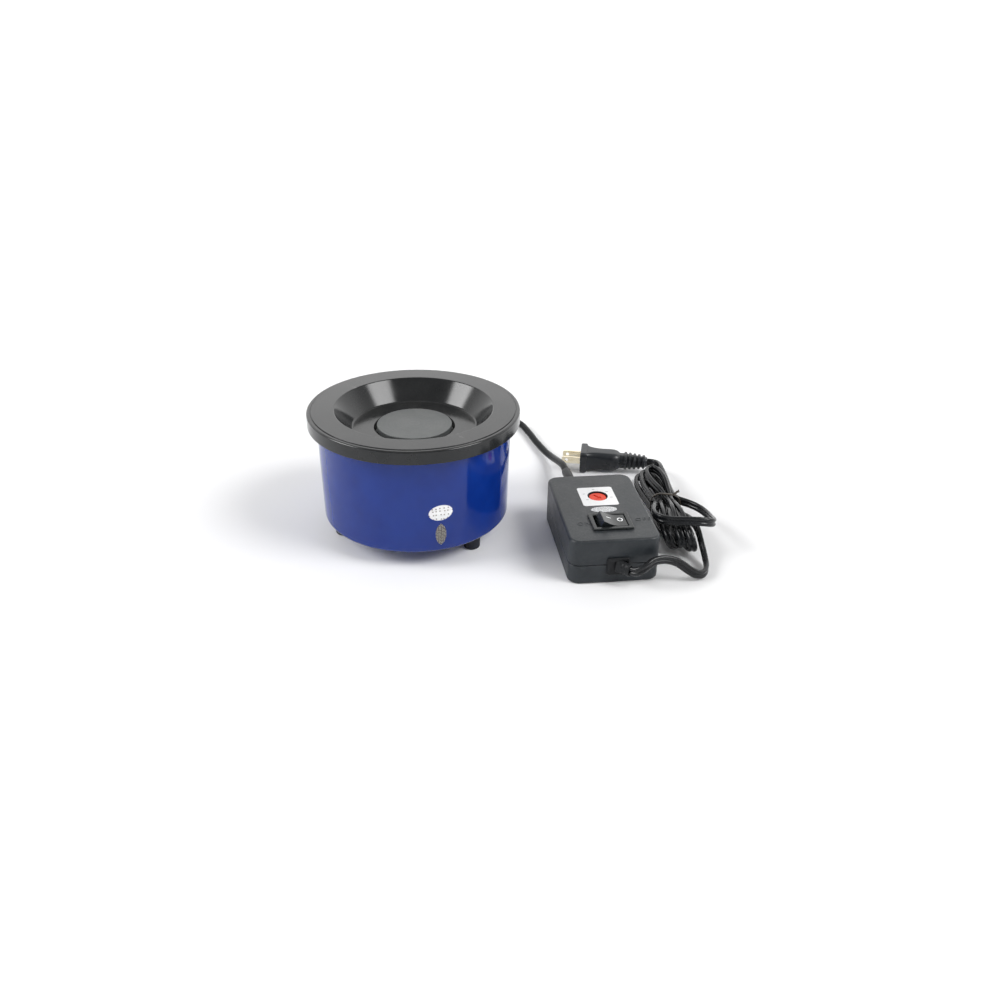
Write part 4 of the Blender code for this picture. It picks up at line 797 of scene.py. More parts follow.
BOARD_GREEN = finish("board_green", (0.010, 0.110, 0.040), (0.020, 0.180, 0.070), (0.32, 0.44),
                     (1200.0, 0.00003), mottle=300.0, coat=0.3)


def turned_metal():
    """The wheel head: fine rings left by the lathe, in its radius and its gloss."""
    material, tree, shader, place = start_material("turned_metal")
    offset = tree.nodes.new("ShaderNodeVectorMath")
    offset.operation = "SUBTRACT"
    offset.inputs[1].default_value = WHEEL_AXIS
    tree.links.new(place, offset.inputs[0])
    flat = tree.nodes.new("ShaderNodeVectorMath")
    flat.operation = "MULTIPLY"
    flat.inputs[1].default_value = (1, 1, 0)
    tree.links.new(offset.outputs["Vector"], flat.inputs[0])
    reach = tree.nodes.new("ShaderNodeVectorMath")
    reach.operation = "LENGTH"
    tree.links.new(flat.outputs["Vector"], reach.inputs[0])
    radius = reach.outputs["Value"]
    rings = noise(tree, radius, 4200.0, 3.0, 0.7)
    broad = noise(tree, radius, 420.0, 2.0)
    mask = placed(tree, MOTTLE, place, Size=80.0)
    colour = mixed(tree, spread(tree, rings, 0.35, 0.65), (0.085, 0.092, 0.092),
                   (0.125, 0.133, 0.133))
    colour = mixed(tree, spread(tree, mask, 0.0, 1.0, 0.0, 0.35), colour, (0.15, 0.157, 0.157))
    colour = mixed(tree, placed(tree, DUST, place, Amount=0.12), colour, (0.42, 0.40, 0.37))
    tree.links.new(colour, shader.inputs["Base Color"])
    tree.links.new(spread(tree, broad, 0.3, 0.7, 0.40, 0.50), shader.inputs["Roughness"])
    bumped(tree, shader, rings, 0.00003)
    shader.inputs["Metallic"].default_value = 0.35
    return material


def printed(name, ground, mark, size, low, high, randomness, on_drum):
    """A printed sticker: rows of small marks on a clouded ground."""
    material, tree, shader, place = start_material(name)
    parts = tree.nodes.new("ShaderNodeSeparateXYZ")
    tree.links.new(place, parts.inputs["Vector"])
    across, along = parts.outputs["X"], parts.outputs["Y"]
    if on_drum:
        x = maths(tree, "SUBTRACT", across, WHEEL_AXIS.x)
        y = maths(tree, "SUBTRACT", along, WHEEL_AXIS.y)
        turn = maths(tree, "ARCTAN2", y, x)
        across = maths(tree, "MULTIPLY", turn, DRUM_BOTTOM_RADIUS * MM)
        along = parts.outputs["Z"]
    flat = tree.nodes.new("ShaderNodeCombineXYZ")
    tree.links.new(across, flat.inputs["X"])
    tree.links.new(along, flat.inputs["Y"])
    cells = tree.nodes.new("ShaderNodeTexVoronoi")
    cells.voronoi_dimensions = "2D"
    cells.inputs["Scale"].default_value = size
    cells.inputs["Randomness"].default_value = randomness
    tree.links.new(flat.outputs["Vector"], cells.inputs["Vector"])
    dots = spread(tree, cells.outputs["Distance"], low, high)
    clouds = placed(tree, MOTTLE, place, Size=420.0)
    base = mixed(tree, clouds, ground, tuple(0.86 * part for part in ground))
    tree.links.new(mixed(tree, dots, mark, base), shader.inputs["Base Color"])
    tree.links.new(spread(tree, clouds, 0.0, 1.0, 0.32, 0.45), shader.inputs["Roughness"])
    bumped(tree, shader, placed(tree, GRAIN, place, Size=1200.0), 0.00001)
    return material


TURNED_METAL = turned_metal()
OVAL_PRINT = printed("oval_print", (0.80, 0.81, 0.82), (0.14, 0.14, 0.15), 900.0,
                     0.22, 0.40, 0.45, False)
SEAL_PRINT = printed("seal_print", (0.90, 0.90, 0.90), (0.20, 0.17, 0.15), 330.0,
                     0.12, 0.24, 0.40, True)
LEAF_PRINT = printed("leaf_print", (0.050, 0.044, 0.040), (0.42, 0.40, 0.36), 760.0,
                     0.16, 0.42, 0.25, True)


# ---------------------------------------------------------------- leads


def flat_section(steps=9):
    """Two round cores side by side, with a groove between them."""
    section = []
    reach = math.radians(148)
    for side in (1, -1):
        for i in range(steps + 1):
            turn = -reach + 2 * reach * i / steps
            section.append((side * CORE_RADIUS * (1 + math.cos(turn)),
                            side * CORE_RADIUS * math.sin(turn)))
    return section


def make_motor_lead():
    centres = [point + WHEEL_AXIS for point in smooth_line(DC_ROUTE)]
    wides = [Vector(UP)] * len(centres)
    lead = swept("motor_lead", centres, wides, ellipse(2 * DC_RADIUS, 2 * DC_RADIUS, steps=28))
    finished(lead, MOTOR_LEAD_PVC, "base", "cord_pvc", "dc_lead", angle=60)


def make_mains_lead():
    """The whole flat lead, from the box through the hank to the plug, in one piece."""
    route = [(x, y, z, *wide) for x, y, z, wide in MAINS_ROUTE + HANK_ROUTE + TAIL_ROUTE]
    line = smooth_line(route)
    centres = [Vector(row[:3]) + WHEEL_AXIS for row in line]
    wides = [Vector(row[3:]) for row in line]
    lead = swept("mains_flex", centres, wides, flat_section())
    finished(lead, MAINS_PVC, "base", "cord_pvc", "mains_lead", "mains_hank", "mains_tail",
             angle=40)


def make_tie():
    """A twist tie round the hank's waist, with its two ends twisted together."""
    middle = WHEEL_AXIS + Vector((0.2108, 0.0115, 0.0123))
    loop = round_rectangle(25.0, 22.6, 8.5, 8)
    lean = Matrix.Rotation(math.radians(-8), 4, "Z")
    turn = Matrix.Translation(middle) @ lean @ Matrix.Rotation(math.pi / 2, 4, "X")
    along = lean @ Vector((0, 1, 0))
    section = round_rectangle(2.4, 0.9, 0.4, 3)
    count = len(loop)
    centres = [turn @ (Vector((x, y, 0)) * MM) for x, y in loop]
    rings = []
    for i, centre in enumerate(centres):
        ahead = (centres[(i + 1) % count] - centres[i - 1]).normalized()
        outward = ahead.cross(along)
        rings.append([centre + (along * w + outward * n) * MM for w, n in section])
    tie = looped("twist_tie", rings)
    finished(tie, TIE_COVER, "base", "rubber", "cord_tie", angle=50)
    start = middle + Vector((0.0062, -0.0010, 0.0117))
    reach = Vector((0.0050, 0.0052, 0.0006))
    wire = round_rectangle(1.3, 0.7, 0.3, 3)
    twist_radius = 0.0006
    steps = 32
    for number in (1, 2):
        spiral = []
        for i in range(steps + 1):
            share = i / steps
            angle = (number - 1 + 2.5 * share) * math.pi
            around = Vector((0, math.cos(angle), math.sin(angle))) * twist_radius
            spiral.append(start + reach * share + around)
        end = swept(f"twist_tie_end_{number}", spiral, [Vector(UP)] * len(spiral), wire)
        finished(end, TIE_COVER, "base", "rubber", angle=50)


# ---------------------------------------------------------------- wheel unit


def make_lid():
    """The basin: a skirt, a flat rim with a fine step, a cone and a well round the head."""
    profile = rounded([
        (LID_RADIUS, LID_SKIRT_BOTTOM, 0.5), (LID_RADIUS, LID_STEP, 2.3),
        (82.0, LID_STEP, 0.1), (81.75, 104.2, 0.05), (81.5, 104.2, 0.05),
        (81.3, LID_TOP, 0.2), (63.5, LID_TOP, 1.3), (50.2, BASIN_FLOOR, 2.4),
        (32.3, BASIN_FLOOR, 0.7),
        (32.3, 82.0, 1.0), (11.3, 82.0, 0.6), (11.3, 84.6, 0.4), (9.5, 84.6, 0.4),
        (9.5, 79.5, 0), (34.8, 79.5, 0.6), (34.8, 85.7, 0), (51.1, 85.7, 0.8),
        (64.4, 102.5, 0), (74.2, 102.5, 0), (74.2, 96.0, 0.3), (76.2, 96.0, 0.3),
        (76.2, 102.5, 0), (82.5, 102.5, 0.6), (82.5, LID_SKIRT_BOTTOM, 0.5),
    ], closed=True, steps=6)
    lid = turned("splash_basin", profile, steps=192, closed=True)
    even_shading(finished(lid, LID_BLACK, "base", "black_plastic", "basin_lid", angle=50))


def make_drum():
    """The enamelled can, with vents and screw holes in its floor and the lead's port."""
    profile = rounded([
        (0, 14.5, 0), (73.9, 14.5, 2.5), (76.4, DRUM_TOP, 0), (DRUM_TOP_RADIUS, DRUM_TOP, 0.3),
        (DRUM_BOTTOM_RADIUS, DRUM_BOTTOM, 4.0), (0, DRUM_BOTTOM, 0),
    ], steps=8)
    drum = turned("enamelled_drum", profile, steps=192)
    cutters = []
    for angle in FOOT_ANGLES:
        x = FOOT_CIRCLE * math.cos(math.radians(angle))
        y = FOOT_CIRCLE * math.sin(math.radians(angle))
        cutters.append(cylinder(2.3, 10, 20, (x, y), TO_WHEEL, 24))
    slot = round_rectangle(18.0, 3.5, 1.74, 8)
    for i in range(6):
        place = (TO_WHEEL @ Matrix.Rotation(math.radians(60 * i), 4, "Z")
                 @ Matrix.Translation((0.036, 0, 0)))
        cutters.append(prism("cutter", slot, 10, 18, place))
    cutters.append(cylinder(RELIEF_PORT_RADIUS, -6, 6, transform=drum_relief_place(), steps=32))
    cut(drum, *cutters)
    even_shading(finished(drum, BLUE_ENAMEL, "base", "blue_enamel", "drum_housing", angle=40))


def drum_relief_place():
    radius = drum_radius(DRUM_RELIEF_HEIGHT)
    out = Vector((math.cos(DRUM_RELIEF_ANGLE), math.sin(DRUM_RELIEF_ANGLE), 0))
    place = out * radius * MM + Vector((0, 0, DRUM_RELIEF_HEIGHT * MM))
    return (TO_WHEEL @ Matrix.Translation(place)
            @ Matrix.Rotation(DRUM_RELIEF_ANGLE, 4, "Z") @ Matrix.Rotation(math.pi / 2, 4, "Y"))


def ribbed_relief(name, wall, gap, length, grooves, transform, node):
    """A strain relief of rubber: two flanges about the wall and a taper with grooves."""
    back, front = -wall - gap, gap + RELIEF_FLANGE
    corners = [
        (0, back - RELIEF_FLANGE, 0), (RELIEF_FLANGE_RADIUS, back - RELIEF_FLANGE, 0.3),
        (RELIEF_FLANGE_RADIUS, back, 0.2), (RELIEF_NECK_RADIUS, back, 0),
        (RELIEF_NECK_RADIUS, gap, 0), (RELIEF_FLANGE_RADIUS, gap, 0.2),
        (RELIEF_FLANGE_RADIUS, front, 0.5), (RELIEF_ROOT_RADIUS, front, 0.4),
    ]
    first, last = gap + 5.0, 0.45 * length
    for i in range(grooves):
        middle = first + (last - first) * i / (grooves - 1)
        share = (middle - front) / (length - front)
        radius = RELIEF_ROOT_RADIUS + share * (RELIEF_TIP_RADIUS - RELIEF_ROOT_RADIUS)
        bottom = radius - GROOVE_DEPTH
        corners += [(radius, middle - 1.0, 0.2), (bottom, middle - 0.6, 0.2),
                    (bottom, middle + 0.6, 0.2), (radius, middle + 1.0, 0.2)]
    corners += [(RELIEF_TIP_RADIUS, length, 0.6), (0, length, 0)]
    relief = turned(name, rounded(corners, steps=3), transform, steps=48)
    finished(relief, RELIEF_RUBBER, "base", "rubber", node, angle=50)


def make_reliefs():
    """The reliefs at the two ends of the round lead."""
    bulge = RELIEF_FLANGE_RADIUS ** 2 / (2 * DRUM_BOTTOM_RADIUS)
    ribbed_relief("drum_lead_relief", 1.5, 0.3 + 2 * bulge, 28.0, 3, drum_relief_place(),
                  "drum_strain_relief")
    x, z = DC_RELIEF_PLACE
    place = Matrix.Translation(Vector((x, BOX_LENGTH / 2, z)) * MM)
    ribbed_relief("box_lead_relief", BOX_WALL, 0.3, 50.0, 5,
                  TO_BOX @ place @ Matrix.Rotation(-math.pi / 2, 4, "X"), "box_dc_relief")


def make_wheel_head():
    """The throwing disc, with a hub that drops through the well."""
    profile = rounded([
        (0, 90.3, 0), (30.2, 90.3, 0.6), (30.2, 84.8, 0.4), (13.5, 84.8, 0.3),
        (13.5, 86.2, 0.3), (7.5, 86.2, 0.3), (7.5, 69.5, 0.4), (2.8, 69.5, 0),
        (2.8, 82.5, 0), (0, 82.5, 0),
    ])
    head = turned("throwing_disc", profile, steps=160)
    even_shading(finished(head, TURNED_METAL, "spindle", "satin_metal", "wheel_head", angle=50))


def make_feet():
    profile = rounded([
        (6.2, 12.7, 0.2), (6.65, 10.8, 0.3), (6.65, 1.5, 0.5), (6.0, 0, 0.3), (4.3, 0, 0.2),
        (4.3, 4.5, 0), (2.3, 4.5, 0), (2.3, 12.7, 0),
    ], closed=True, steps=4)
    for number, angle in enumerate(FOOT_ANGLES, 1):
        turn = math.radians(angle)
        x, y = FOOT_CIRCLE * math.cos(turn), FOOT_CIRCLE * math.sin(turn)
        place = TO_WHEEL @ Matrix.Translation((x * MM, y * MM, 0))
        foot = turned(f"rubber_foot_{number}", profile, place, 64, closed=True)
        finished(foot, FOOT_RUBBER, "base", "rubber", f"foot_{number}", angle=45)


def drum_radius(height):
    share = (height - DRUM_BOTTOM) / (DRUM_TOP - DRUM_BOTTOM)
    return DRUM_BOTTOM_RADIUS + share * (DRUM_TOP_RADIUS - DRUM_BOTTOM_RADIUS)


def drum_sticker(name, outline, angle, height, material):
    """A thin sticker that follows the drum's side; its outline is in millimetres."""
    shares = (0.02, 0.15, 0.3, 0.45, 0.6, 0.75, 0.9, 1.0)
    layers = [(share, STICKER_LIFT) for share in shares] + [(1.0, 0.0)]
    layers += [(share, 0.0) for share in reversed(shares[:-1])]
    rings = []
    for share, lift in layers:
        ring = []
        for x, z in outline:
            radius = drum_radius(height + z * share) + lift
            turn = math.radians(angle) + x * share / radius
            ring.append(Vector((radius * math.cos(turn), radius * math.sin(turn),
                                height + z * share)) * MM)
        rings.append(ring)
    finished(lofted(name, rings, TO_WHEEL), material, "base", "blue_enamel", angle=40)


def tilted(outline, degrees):
    turn = math.radians(degrees)
    return [(x * math.cos(turn) - y * math.sin(turn), x * math.sin(turn) + y * math.cos(turn))
            for x, y in outline]


def leaf_outline():
    """A leaf: a pointed top and bottom with full sides."""
    half_height, half_width, steps = 9.5, 4.1, 40
    points = []
    for i in range(steps):
        turn = 2 * math.pi * i / steps
        side = math.cos(turn)
        height = half_height * math.sin(turn)
        width = half_width * (1 - (abs(height) / half_height) ** 3.0)
        points.append((math.copysign(width, side) if abs(side) > 1e-6 else 0.0, height))
    return points


def make_drum_stickers():
    seal = tilted(ellipse(19.0, 13.0), 4)
    drum_sticker("seal_sticker", seal, STICKER_ANGLE, 48.0, SEAL_PRINT)
    drum_sticker("leaf_sticker", leaf_outline(), STICKER_ANGLE, 29.0, LEAF_PRINT)


# ---------------------------------------------------------------- control box


def ports():
    """Cutters for the two openings at the seam."""
    x, z = DC_RELIEF_PLACE
    turn = Matrix.Translation((x * MM, BOX_LENGTH / 2 * MM, z * MM))
    rear_place = TO_BOX @ turn @ Matrix.Rotation(-math.pi / 2, 4, "X")
    rear = cylinder(RELIEF_PORT_RADIUS, -6, 6, transform=rear_place, steps=32)
    x, z = MAINS_RELIEF_PLACE
    front = prism("cutter", round_rectangle(16.6, 10.0, 0.2, 2, (x, -BOX_LENGTH / 2)),
                  z - 6.7, z + 6.7, TO_BOX)
    return [rear, front]


def post_places():
    reach_x, reach_y = BOX_POST_REACH
    corners = ((1, 1), (-1, 1), (-1, -1), (1, -1))
    return [(side_x * reach_x, side_y * reach_y) for side_x, side_y in corners]


def hollow(low, high):
    outline = round_rectangle(BOX_WIDTH - 2 * BOX_WALL, BOX_LENGTH - 2 * BOX_WALL,
                              BOX_CORNER - BOX_WALL, 8)
    return prism("cutter", outline, low, high, TO_BOX)


def make_lower_shell():
    top = BOX_SEAM - SEAM_HALF
    shell = block_with_round_edges("lower_case", BOX_WIDTH, BOX_LENGTH, BOX_CORNER, 0, top,
                                   1.6, 0.5, TO_BOX)
    cut(shell, hollow(BOX_WALL, BOX_HEIGHT))
    cut(shell, *[cylinder(4.6, 1.1, top - 0.2, place, TO_BOX, 32) for place in post_places()],
        operation="UNION")
    cutters = [cylinder(3.2, -2, 6.0, place, TO_BOX, 32) for place in post_places()]
    cutters += [cylinder(SCREW_BORE_RADIUS, 5, BOX_HEIGHT, place, TO_BOX, 24)
                for place in post_places()]
    cut(shell, *cutters, *ports())
    even_shading(finished(shell, BOX_GREY, "base", "grey_abs", "box_lower_shell", angle=50))


def make_upper_shell():
    bottom = BOX_SEAM + SEAM_HALF
    shell = block_with_round_edges("upper_case", BOX_WIDTH, BOX_LENGTH, BOX_CORNER, bottom,
                                   BOX_HEIGHT, 0.5, BOX_EDGE, TO_BOX)
    cut(shell, hollow(0, BOX_HEIGHT - BOX_WALL))
    cut(shell, *[cylinder(3.6, bottom + 0.2, BOX_HEIGHT - 1.1, place, TO_BOX, 32)
                 for place in post_places()], operation="UNION")
    switch_hole = prism("cutter", round_rectangle(27.6, 21.1, 0.3, 2, SWITCH_PLACE), 30, 42,
                        TO_BOX)
    knob_hole = cylinder(8.0, 30, 42, KNOB_PLACE, TO_BOX, 64)
    bores = [cylinder(SCREW_BORE_RADIUS, 0, 32.7, place, TO_BOX, 24)
             for place in post_places()]
    cut(shell, switch_hole, knob_hole, *bores, *ports())
    even_shading(finished(shell, BOX_GREY, "base", "grey_abs", "box_upper_shell", angle=50))


def raised_word(name, word, centre, height, turn=0.0):
    """A moulded word that stands a little above the box's top."""
    curve = bpy.data.curves.new(name, "FONT")
    curve.body = word
    curve.size = height * 1.38 * MM
    curve.space_character = 1.25
    curve.align_x = "CENTER"
    curve.align_y = "CENTER"
    curve.extrude = 0.00018
    curve.bevel_depth = 0.00006
    flat = bpy.data.objects.new(name, curve)
    bpy.context.scene.collection.objects.link(flat)
    flat.location = Vector((*centre, BOX_HEIGHT)) * MM
    flat.rotation_euler.z = turn
    applied_mesh = applied_text(flat)
    applied_mesh.data.transform(TO_BOX @ applied_mesh.matrix_world)
    applied_mesh.matrix_world = Matrix.Identity(4)
    finished(applied_mesh, BOX_GREY, "base", "grey_abs", angle=30)


def applied_text(flat):
    """The mesh of a text object, in an object of the same name."""
    bpy.context.view_layer.update()
    graph = bpy.context.evaluated_depsgraph_get()
    mesh = bpy.data.meshes.new_from_object(flat.evaluated_get(graph))
    name, world = flat.name, flat.matrix_world.copy()
    bpy.data.objects.remove(flat)
    obj = bpy.data.objects.new(name, mesh)
    bpy.context.scene.collection.objects.link(obj)
    obj.matrix_world = world
    bpy.context.view_layer.update()
    return obj


def make_words():
    raised_word("word_on", "ON", (-19.9, -27.6), 4.6)
    raised_word("word_off", "OFF", (27.4, -25.2), 4.6)


def make_switch_frame():
    """The switch's flange with its rounded lip, and the body that drops into the box."""
    x, y = SWITCH_PLACE
    width, length = SWITCH_SIZE
    flange = block_with_round_edges("switch_bezel", width, length, 1.2, 37.4, SWITCH_TOP, 0,
                                    0.7, TO_BOX, SWITCH_PLACE)
    body = prism("cutter", round_rectangle(27.0, 20.5, 0.3, 2, SWITCH_PLACE), 23.9, 38.1, TO_BOX)
    cut(flange, body, operation="UNION")
    opening = round_rectangle(*SWITCH_OPENING, 0.6, 4, SWITCH_PLACE)
    wide = round_rectangle(SWITCH_OPENING[0] + 1.2, SWITCH_OPENING[1] + 1.2, 1.0, 4, (x, y))
    well = lofted("cutter", [at_height(opening, 25.0), at_height(opening, SWITCH_TOP - 0.6),
                             at_height(wide, SWITCH_TOP + 0.02), at_height(wide, 44.0)], TO_BOX)
    cut(flange, well)
    even_shading(finished(flange, SWITCH_BLACK, "base", "glossy_black", "switch_frame",
                          angle=45))


def rocker_outline():
    """The rocker from its side, about its pivot, with its right half pressed down flat."""
    half, face, skirt = SWITCH_OPENING[0] / 2 - 0.5, ROCKER_FACE, 1.5
    belly, belly_half = 5.5, 6.5
    lift = 2 * (math.pi / 2 - ROCKER_TILT)

    def mirrored(x, z):
        turn = lift - math.atan2(z, x)
        reach = math.hypot(x, z)
        return reach * math.cos(turn), reach * math.sin(turn)

    right = [(half, face, 0.5), (half, -skirt, 0.5), (belly_half, -belly, 1.0)]
    left = [(*mirrored(x, z), fillet) for x, z, fillet in reversed(right)]
    left[-1] = (*left[-1][:2], 0.35)
    valley_x = face * math.tan(ROCKER_TILT)
    return rounded([(valley_x, face, ROCKER_CURVE), *left[::-1], *right[::-1]], closed=True,
                   steps=10)


def rocker_face(x):
    """The height of the rocker's face above its pivot, at x from the pivot."""
    slope = 2 * ROCKER_TILT
    valley_x = ROCKER_FACE * math.tan(ROCKER_TILT)
    flat_start = valley_x + ROCKER_CURVE * math.tan(ROCKER_TILT)
    slope_start = flat_start - ROCKER_CURVE * math.sin(slope)
    if x >= flat_start:
        return ROCKER_FACE
    if x <= slope_start:
        return ROCKER_FACE + (valley_x - x) * math.tan(slope)
    return ROCKER_FACE + ROCKER_CURVE - math.sqrt(ROCKER_CURVE ** 2 - (x - flat_start) ** 2)


def make_rocker():
    """The rocker, a section along the box's width swept over its short way."""
    x, y = SWITCH_PLACE
    half = SWITCH_OPENING[1] / 2 - 0.5
    outline = rocker_outline()
    middle = Vector((0, 0))
    rings = []
    for side, inset in ((-half, 0.35), (-half + 0.1, 0.1), (-half + 0.35, 0.0),
                        (half - 0.35, 0.0), (half - 0.1, 0.1), (half, 0.35)):
        share = 1 - inset / 12.0
        ring = [middle + (point - middle) * share for point in outline]
        rings.append([
            Vector((across + x * MM, (side + y) * MM, height + ROCKER_PIVOT * MM))
            for across, height in ring
        ])
    rocker = lofted("rocker_cap", rings, TO_BOX)
    even_shading(finished(rocker, ROCKER_BLACK, "rocker", "glossy_black", "rocker_button",
                          angle=30))


def rocker_mark(name, outer, inner):
    """A thin printed mark on the rocker's curved face, between two outlines."""
    rows = []
    half = 0.05
    for outline, lift in ((outer, -half), (outer, half), (inner, half), (inner, -half)):
        rows.append([
            Vector((SWITCH_PLACE[0] + x, SWITCH_PLACE[1] + y,
                    ROCKER_PIVOT + rocker_face(x) + lift)) * MM
            for x, y in outline
        ])
    finished(looped(name, rows, TO_BOX), MARK_WHITE, "rocker", "glossy_black", angle=30)


def make_rocker_marks():
    """The two printed marks on the rocker: a ring for off and a bar for on."""
    ring_centre, bar_centre = (7.5, 1.2), (-1.4, 2.2)
    rocker_mark("rocker_ring_mark", ellipse(4.6, 5.4, ring_centre, 40),
                ellipse(2.9, 3.7, ring_centre, 40))
    rocker_mark("rocker_bar_mark", ellipse(4.2, 1.0, bar_centre, 24),
                ellipse(0.21, 0.05, bar_centre, 24))


def make_knob():
    """The recessed speed knob, with an arrow slot for a fingertip or a screwdriver."""
    x, y = KNOB_PLACE
    place = TO_BOX @ Matrix.Translation((x * MM, y * MM, 0))
    profile = rounded([
        (0, KNOB_TOP, 0), (7.0, KNOB_TOP, 0.5), (7.0, 33.3, 0.3), (3.2, 33.3, 0.3),
        (3.2, 21.4, 0), (0, 21.4, 0),
    ])
    knob = turned("speed_dial", profile, place, 72)
    half, width, head, head_length = 4.2, 0.8, 2.1, 3.4
    neck = half - head_length
    arrow = [(-half, -width), (neck, -width), (neck, -head), (half, 0), (neck, head),
             (neck, width), (-half, width)]
    turn = place @ Matrix.Rotation(math.radians(-48), 4, "Z")
    cut(knob, prism("cutter", arrow, KNOB_TOP - 0.7, KNOB_TOP + 2, turn))
    even_shading(finished(knob, KNOB_RED, "knob", "red_plastic", "speed_knob", angle=40))


def make_label():
    """The dial's label, with a hole for the knob and a tick for each speed."""
    centre = (0.3, 15.9)
    label = prism("dial_label", round_rectangle(29.0, 31.0, 2.0, 6, centre), BOX_HEIGHT + 0.01,
                  BOX_HEIGHT + 0.14, TO_BOX)
    cut(label, cylinder(8.3, 30, 45, KNOB_PLACE, TO_BOX, 64))
    finished(label, LABEL_WHITE, "base", "grey_abs", angle=30)
    for number, angle in enumerate((211, 158, 97, 36, -17), 1):
        turn = math.radians(angle)
        x = KNOB_PLACE[0] + 11.2 * math.cos(turn)
        y = KNOB_PLACE[1] + 11.2 * math.sin(turn)
        tick = soft_prism(f"dial_tick_{number}", round_rectangle(2.2, 0.7, 0.3, 3, (x, y)),
                          BOX_HEIGHT + 0.13, BOX_HEIGHT + 0.19, 0.02, TO_BOX)
        finished(tick, TICK_GREY, "base", "grey_abs", angle=30)


def make_oval_sticker():
    oval = soft_prism("oval_sticker", ellipse(21.0, 9.0, (0.6, -6.4)), BOX_HEIGHT + 0.01,
                      BOX_HEIGHT + 0.13, 0.04, TO_BOX)
    finished(oval, OVAL_PRINT, "base", "grey_abs", angle=30)


def make_mains_relief():
    """The square grommet of the mains lead, whose nose turns the lead to the right."""
    x, z = MAINS_RELIEF_PLACE
    front = Matrix.Translation(Vector((x, -BOX_LENGTH / 2, z)) * MM)
    upright = front @ Matrix.Rotation(math.pi / 2, 4, "X")
    plate = block_with_round_edges("mains_grommet", 17.4, 14.6, 2.0, 0.3, 2.0, 0, 0.8,
                                   TO_BOX @ upright)
    lip = prism("cutter", round_rectangle(13.2, 12.6, 1.2, 6, (0.4, -1.6)), 0.8, 6,
                TO_BOX @ upright)
    cut(plate, lip)
    neck = prism("cutter", round_rectangle(16.0, 12.8, 0.3, 2), -4.5, 0.6, TO_BOX @ upright)
    inside = prism("cutter", round_rectangle(20.0, 15.5, 0.3, 2), -4.0, -2.5, TO_BOX @ upright)
    droop = math.radians(2)
    aim = (front @ Matrix.Rotation(MAINS_RELIEF_TURN, 4, "Z")
           @ Matrix.Rotation(math.pi / 2 + droop, 4, "X"))
    rings = []
    for away, radius in ((0.0, 6.3), (1.0, 6.2), (3.6, 5.8), (4.0, 5.4), (4.8, 5.3),
                         (5.2, 5.6), (6.4, 5.5), (6.8, 5.1), (7.6, 5.0), (8.0, 5.4),
                         (10.3, 5.2), (10.8, 5.0), (11.0, 4.6), (10.8, 4.25), (9.6, 4.1)):
        rings.append(at_height(ellipse(1.25 * radius, 1.9 * radius, steps=40), away))
    nose = lofted("cutter", rings, TO_BOX @ aim)
    cut(plate, neck, inside, nose, operation="UNION")
    even_shading(finished(plate, RELIEF_RUBBER, "base", "rubber", "mains_relief", angle=45))


# ---------------------------------------------------------------- plug


def make_plug():
    """The moulded plug: a flange, a waisted grip and a ribbed relief."""
    place = Matrix.Translation(PLUG_PLACE) @ Matrix.Rotation(PLUG_TURN, 4, "Z")
    sections = [(-62.0, 24.6, 18.6, 2.4), (-61.4, 25.6, 19.6, 2.8), (-60.8, 26.0, 20.0, 3.0),
                (-57.2, 26.0, 20.0, 3.0), (-56.4, 25.4, 19.4, 3.0), (-56.0, 22.6, 18.2, 3.2),
                (-54.0, 20.4, 17.8, 3.8), (-50.0, 18.6, 17.4, 4.4), (-46.0, 17.6, 17.2, 4.6),
                (-42.0, 17.6, 17.0, 4.8), (-38.0, 18.4, 17.0, 5.0), (-34.0, 19.4, 17.0, 5.4),
                (-31.0, 19.6, 16.8, 5.8), (-28.5, 18.6, 16.0, 6.0), (-26.6, 16.0, 14.6, 5.6),
                (-25.4, 13.6, 13.2, 5.2)]
    for i in range(5):
        start = -22.5 + 4.2 * i
        size = 15.4 - 0.7 * i
        for along, less, corner in ((0.0, 2.6, 4.2), (1.1, 2.7, 4.1), (1.5, 0.3, 5.0),
                                    (3.4, 0.4, 4.9), (3.8, 2.6, 4.0)):
            sections.append((start + along, size - less, size - less, corner))
    sections += [(-1.0, 8.8, 8.8, 3.6), (0.0, 8.4, 8.4, 3.4)]
    rings = [
        [Vector((x, y, z)) * MM
         for y, z in round_rectangle(width, height, min(corner, height / 2.05), 6)]
        for x, width, height, corner in sections
    ]
    plug = lofted("plug_grip", rings, place)
    even_shading(finished(plug, PLUG_BLACK, "base", "glossy_black", "plug_body", angle=35))
    return [plug]


# ---------------------------------------------------------------- pieces kept from the frame

KEPT_FINISHES = [
    (BRASS, ("plug_blade_1", "plug_blade_2")),
    (ZINC, ("foot_screw_1", "foot_screw_2", "foot_screw_3", "pillar_1", "pillar_2",
            "pillar_3", "motor_plate", "plate_screw_1", "plate_screw_2", "plate_screw_3",
            "motor_screw_1", "motor_screw_2", "motor_can", "potentiometer", "heat_sink",
            "box_screw_1", "box_screw_2", "box_screw_3", "box_screw_4")),
    (STEEL, ("upper_bearing", "lower_bearing", "motor_shaft", "hub_grub_screw")),
    (COPPER, ("winding_upper", "winding_lower", "commutator")),
    (FERRITE, ("magnet_1", "magnet_2", "brush_1", "brush_2", "armature_core", "transformer")),
    (PLUG_BLACK, ("motor_end_cap", "capacitor")),
    (BOARD_GREEN, ("circuit_board",)),
]


def finish_kept_nodes():
    for material, names in KEPT_FINISHES:
        for name in names:
            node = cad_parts[name]
            for slot in node.material_slots:
                slot.material = material


# ---------------------------------------------------------------- floor and light


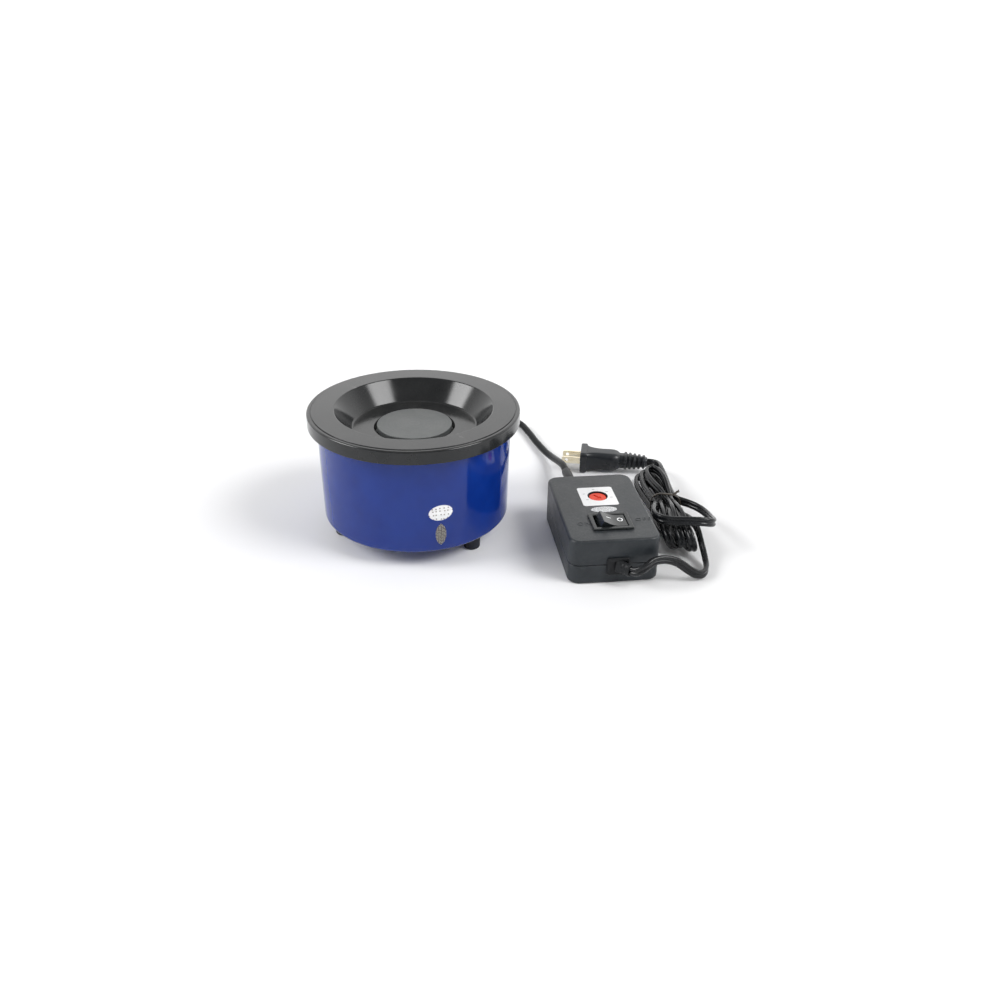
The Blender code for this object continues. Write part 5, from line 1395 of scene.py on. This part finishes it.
def make_floor():
    form = bmesh.new()
    bmesh.ops.create_grid(form, x_segments=2, y_segments=2, size=6.0)
    floor = new_piece("floor", form)
    floor.location.z = -0.0002
    material, tree, shader, place = start_material("floor_paper")
    clouds = placed(tree, MOTTLE, place, Size=3.0)
    tree.links.new(mixed(tree, clouds, (0.86, 0.86, 0.865), (0.88, 0.88, 0.885)),
                   shader.inputs["Base Color"])
    tree.links.new(spread(tree, clouds, 0.0, 1.0, 0.75, 0.85), shader.inputs["Roughness"])
    bumped(tree, shader, placed(tree, GRAIN, place, Size=900.0), 0.00003)
    floor.data.materials.append(material)


def lamp_patch(tree, place, direction, width):
    """How far a direction lies inside a soft round lamp, from 0 to 1."""
    aim = tree.nodes.new("ShaderNodeVectorMath")
    aim.operation = "DOT_PRODUCT"
    aim.inputs[1].default_value = Vector(direction).normalized()
    tree.links.new(place, aim.inputs[0])
    inner, outer = math.cos(0.75 * width), math.cos(1.25 * width)
    return spread(tree, aim.outputs["Value"], outer, inner, smooth=True)


def make_light():
    """A pale room that is darker overhead and in front, with two soft lamps at the sides."""
    world = bpy.data.worlds.new("studio")
    bpy.context.scene.world = world
    world.use_nodes = True
    tree = world.node_tree
    background = tree.nodes["Background"]
    background.inputs["Color"].default_value = (1, 1, 1, 1)
    place = tree.nodes.new("ShaderNodeTexCoord").outputs["Generated"]
    parts = tree.nodes.new("ShaderNodeSeparateXYZ")
    tree.links.new(place, parts.inputs["Vector"])
    overhead = spread(tree, parts.outputs["Z"], 0.50, 0.85, smooth=True)
    in_front = spread(tree, parts.outputs["Y"], -0.05, -0.45, smooth=True)
    above_floor = spread(tree, parts.outputs["Z"], 0.05, 0.30, smooth=True)
    shade = maths(tree, "MAXIMUM", overhead, maths(tree, "MULTIPLY", in_front, above_floor))
    room = spread(tree, shade, 0.0, 1.0, ROOM_PALE, ROOM_DIM)
    behind = spread(tree, parts.outputs["Y"], 0.15, 0.55, 0.0, BACK_WALL, smooth=True)
    low_down = spread(tree, parts.outputs["Z"], 0.70, 0.45, smooth=True)
    room = maths(tree, "ADD", room, maths(tree, "MULTIPLY", behind, low_down))
    left = lamp_patch(tree, place, LEFT_LAMP, LAMP_WIDTH)
    right = lamp_patch(tree, place, RIGHT_LAMP, LAMP_WIDTH)
    lamps = maths(tree, "MULTIPLY", maths(tree, "ADD", left, right), LAMP_STRENGTH)
    tree.links.new(maths(tree, "ADD", room, lamps), background.inputs["Strength"])
    scene = bpy.context.scene
    scene.view_settings.view_transform = "Standard"
    scene.view_settings.look = "None"


# ---------------------------------------------------------------- everything, in order

make_camera()
PLUG_PIECES = make_plug()
make_motor_lead()
make_mains_lead()
make_tie()
make_lid()
make_drum()
make_reliefs()
make_wheel_head()
make_feet()
make_drum_stickers()
make_lower_shell()
make_upper_shell()
make_words()
make_switch_frame()
make_rocker()
make_rocker_marks()
make_knob()
make_label()
make_oval_sticker()
make_mains_relief()
finish_kept_nodes()
make_floor()
make_light()
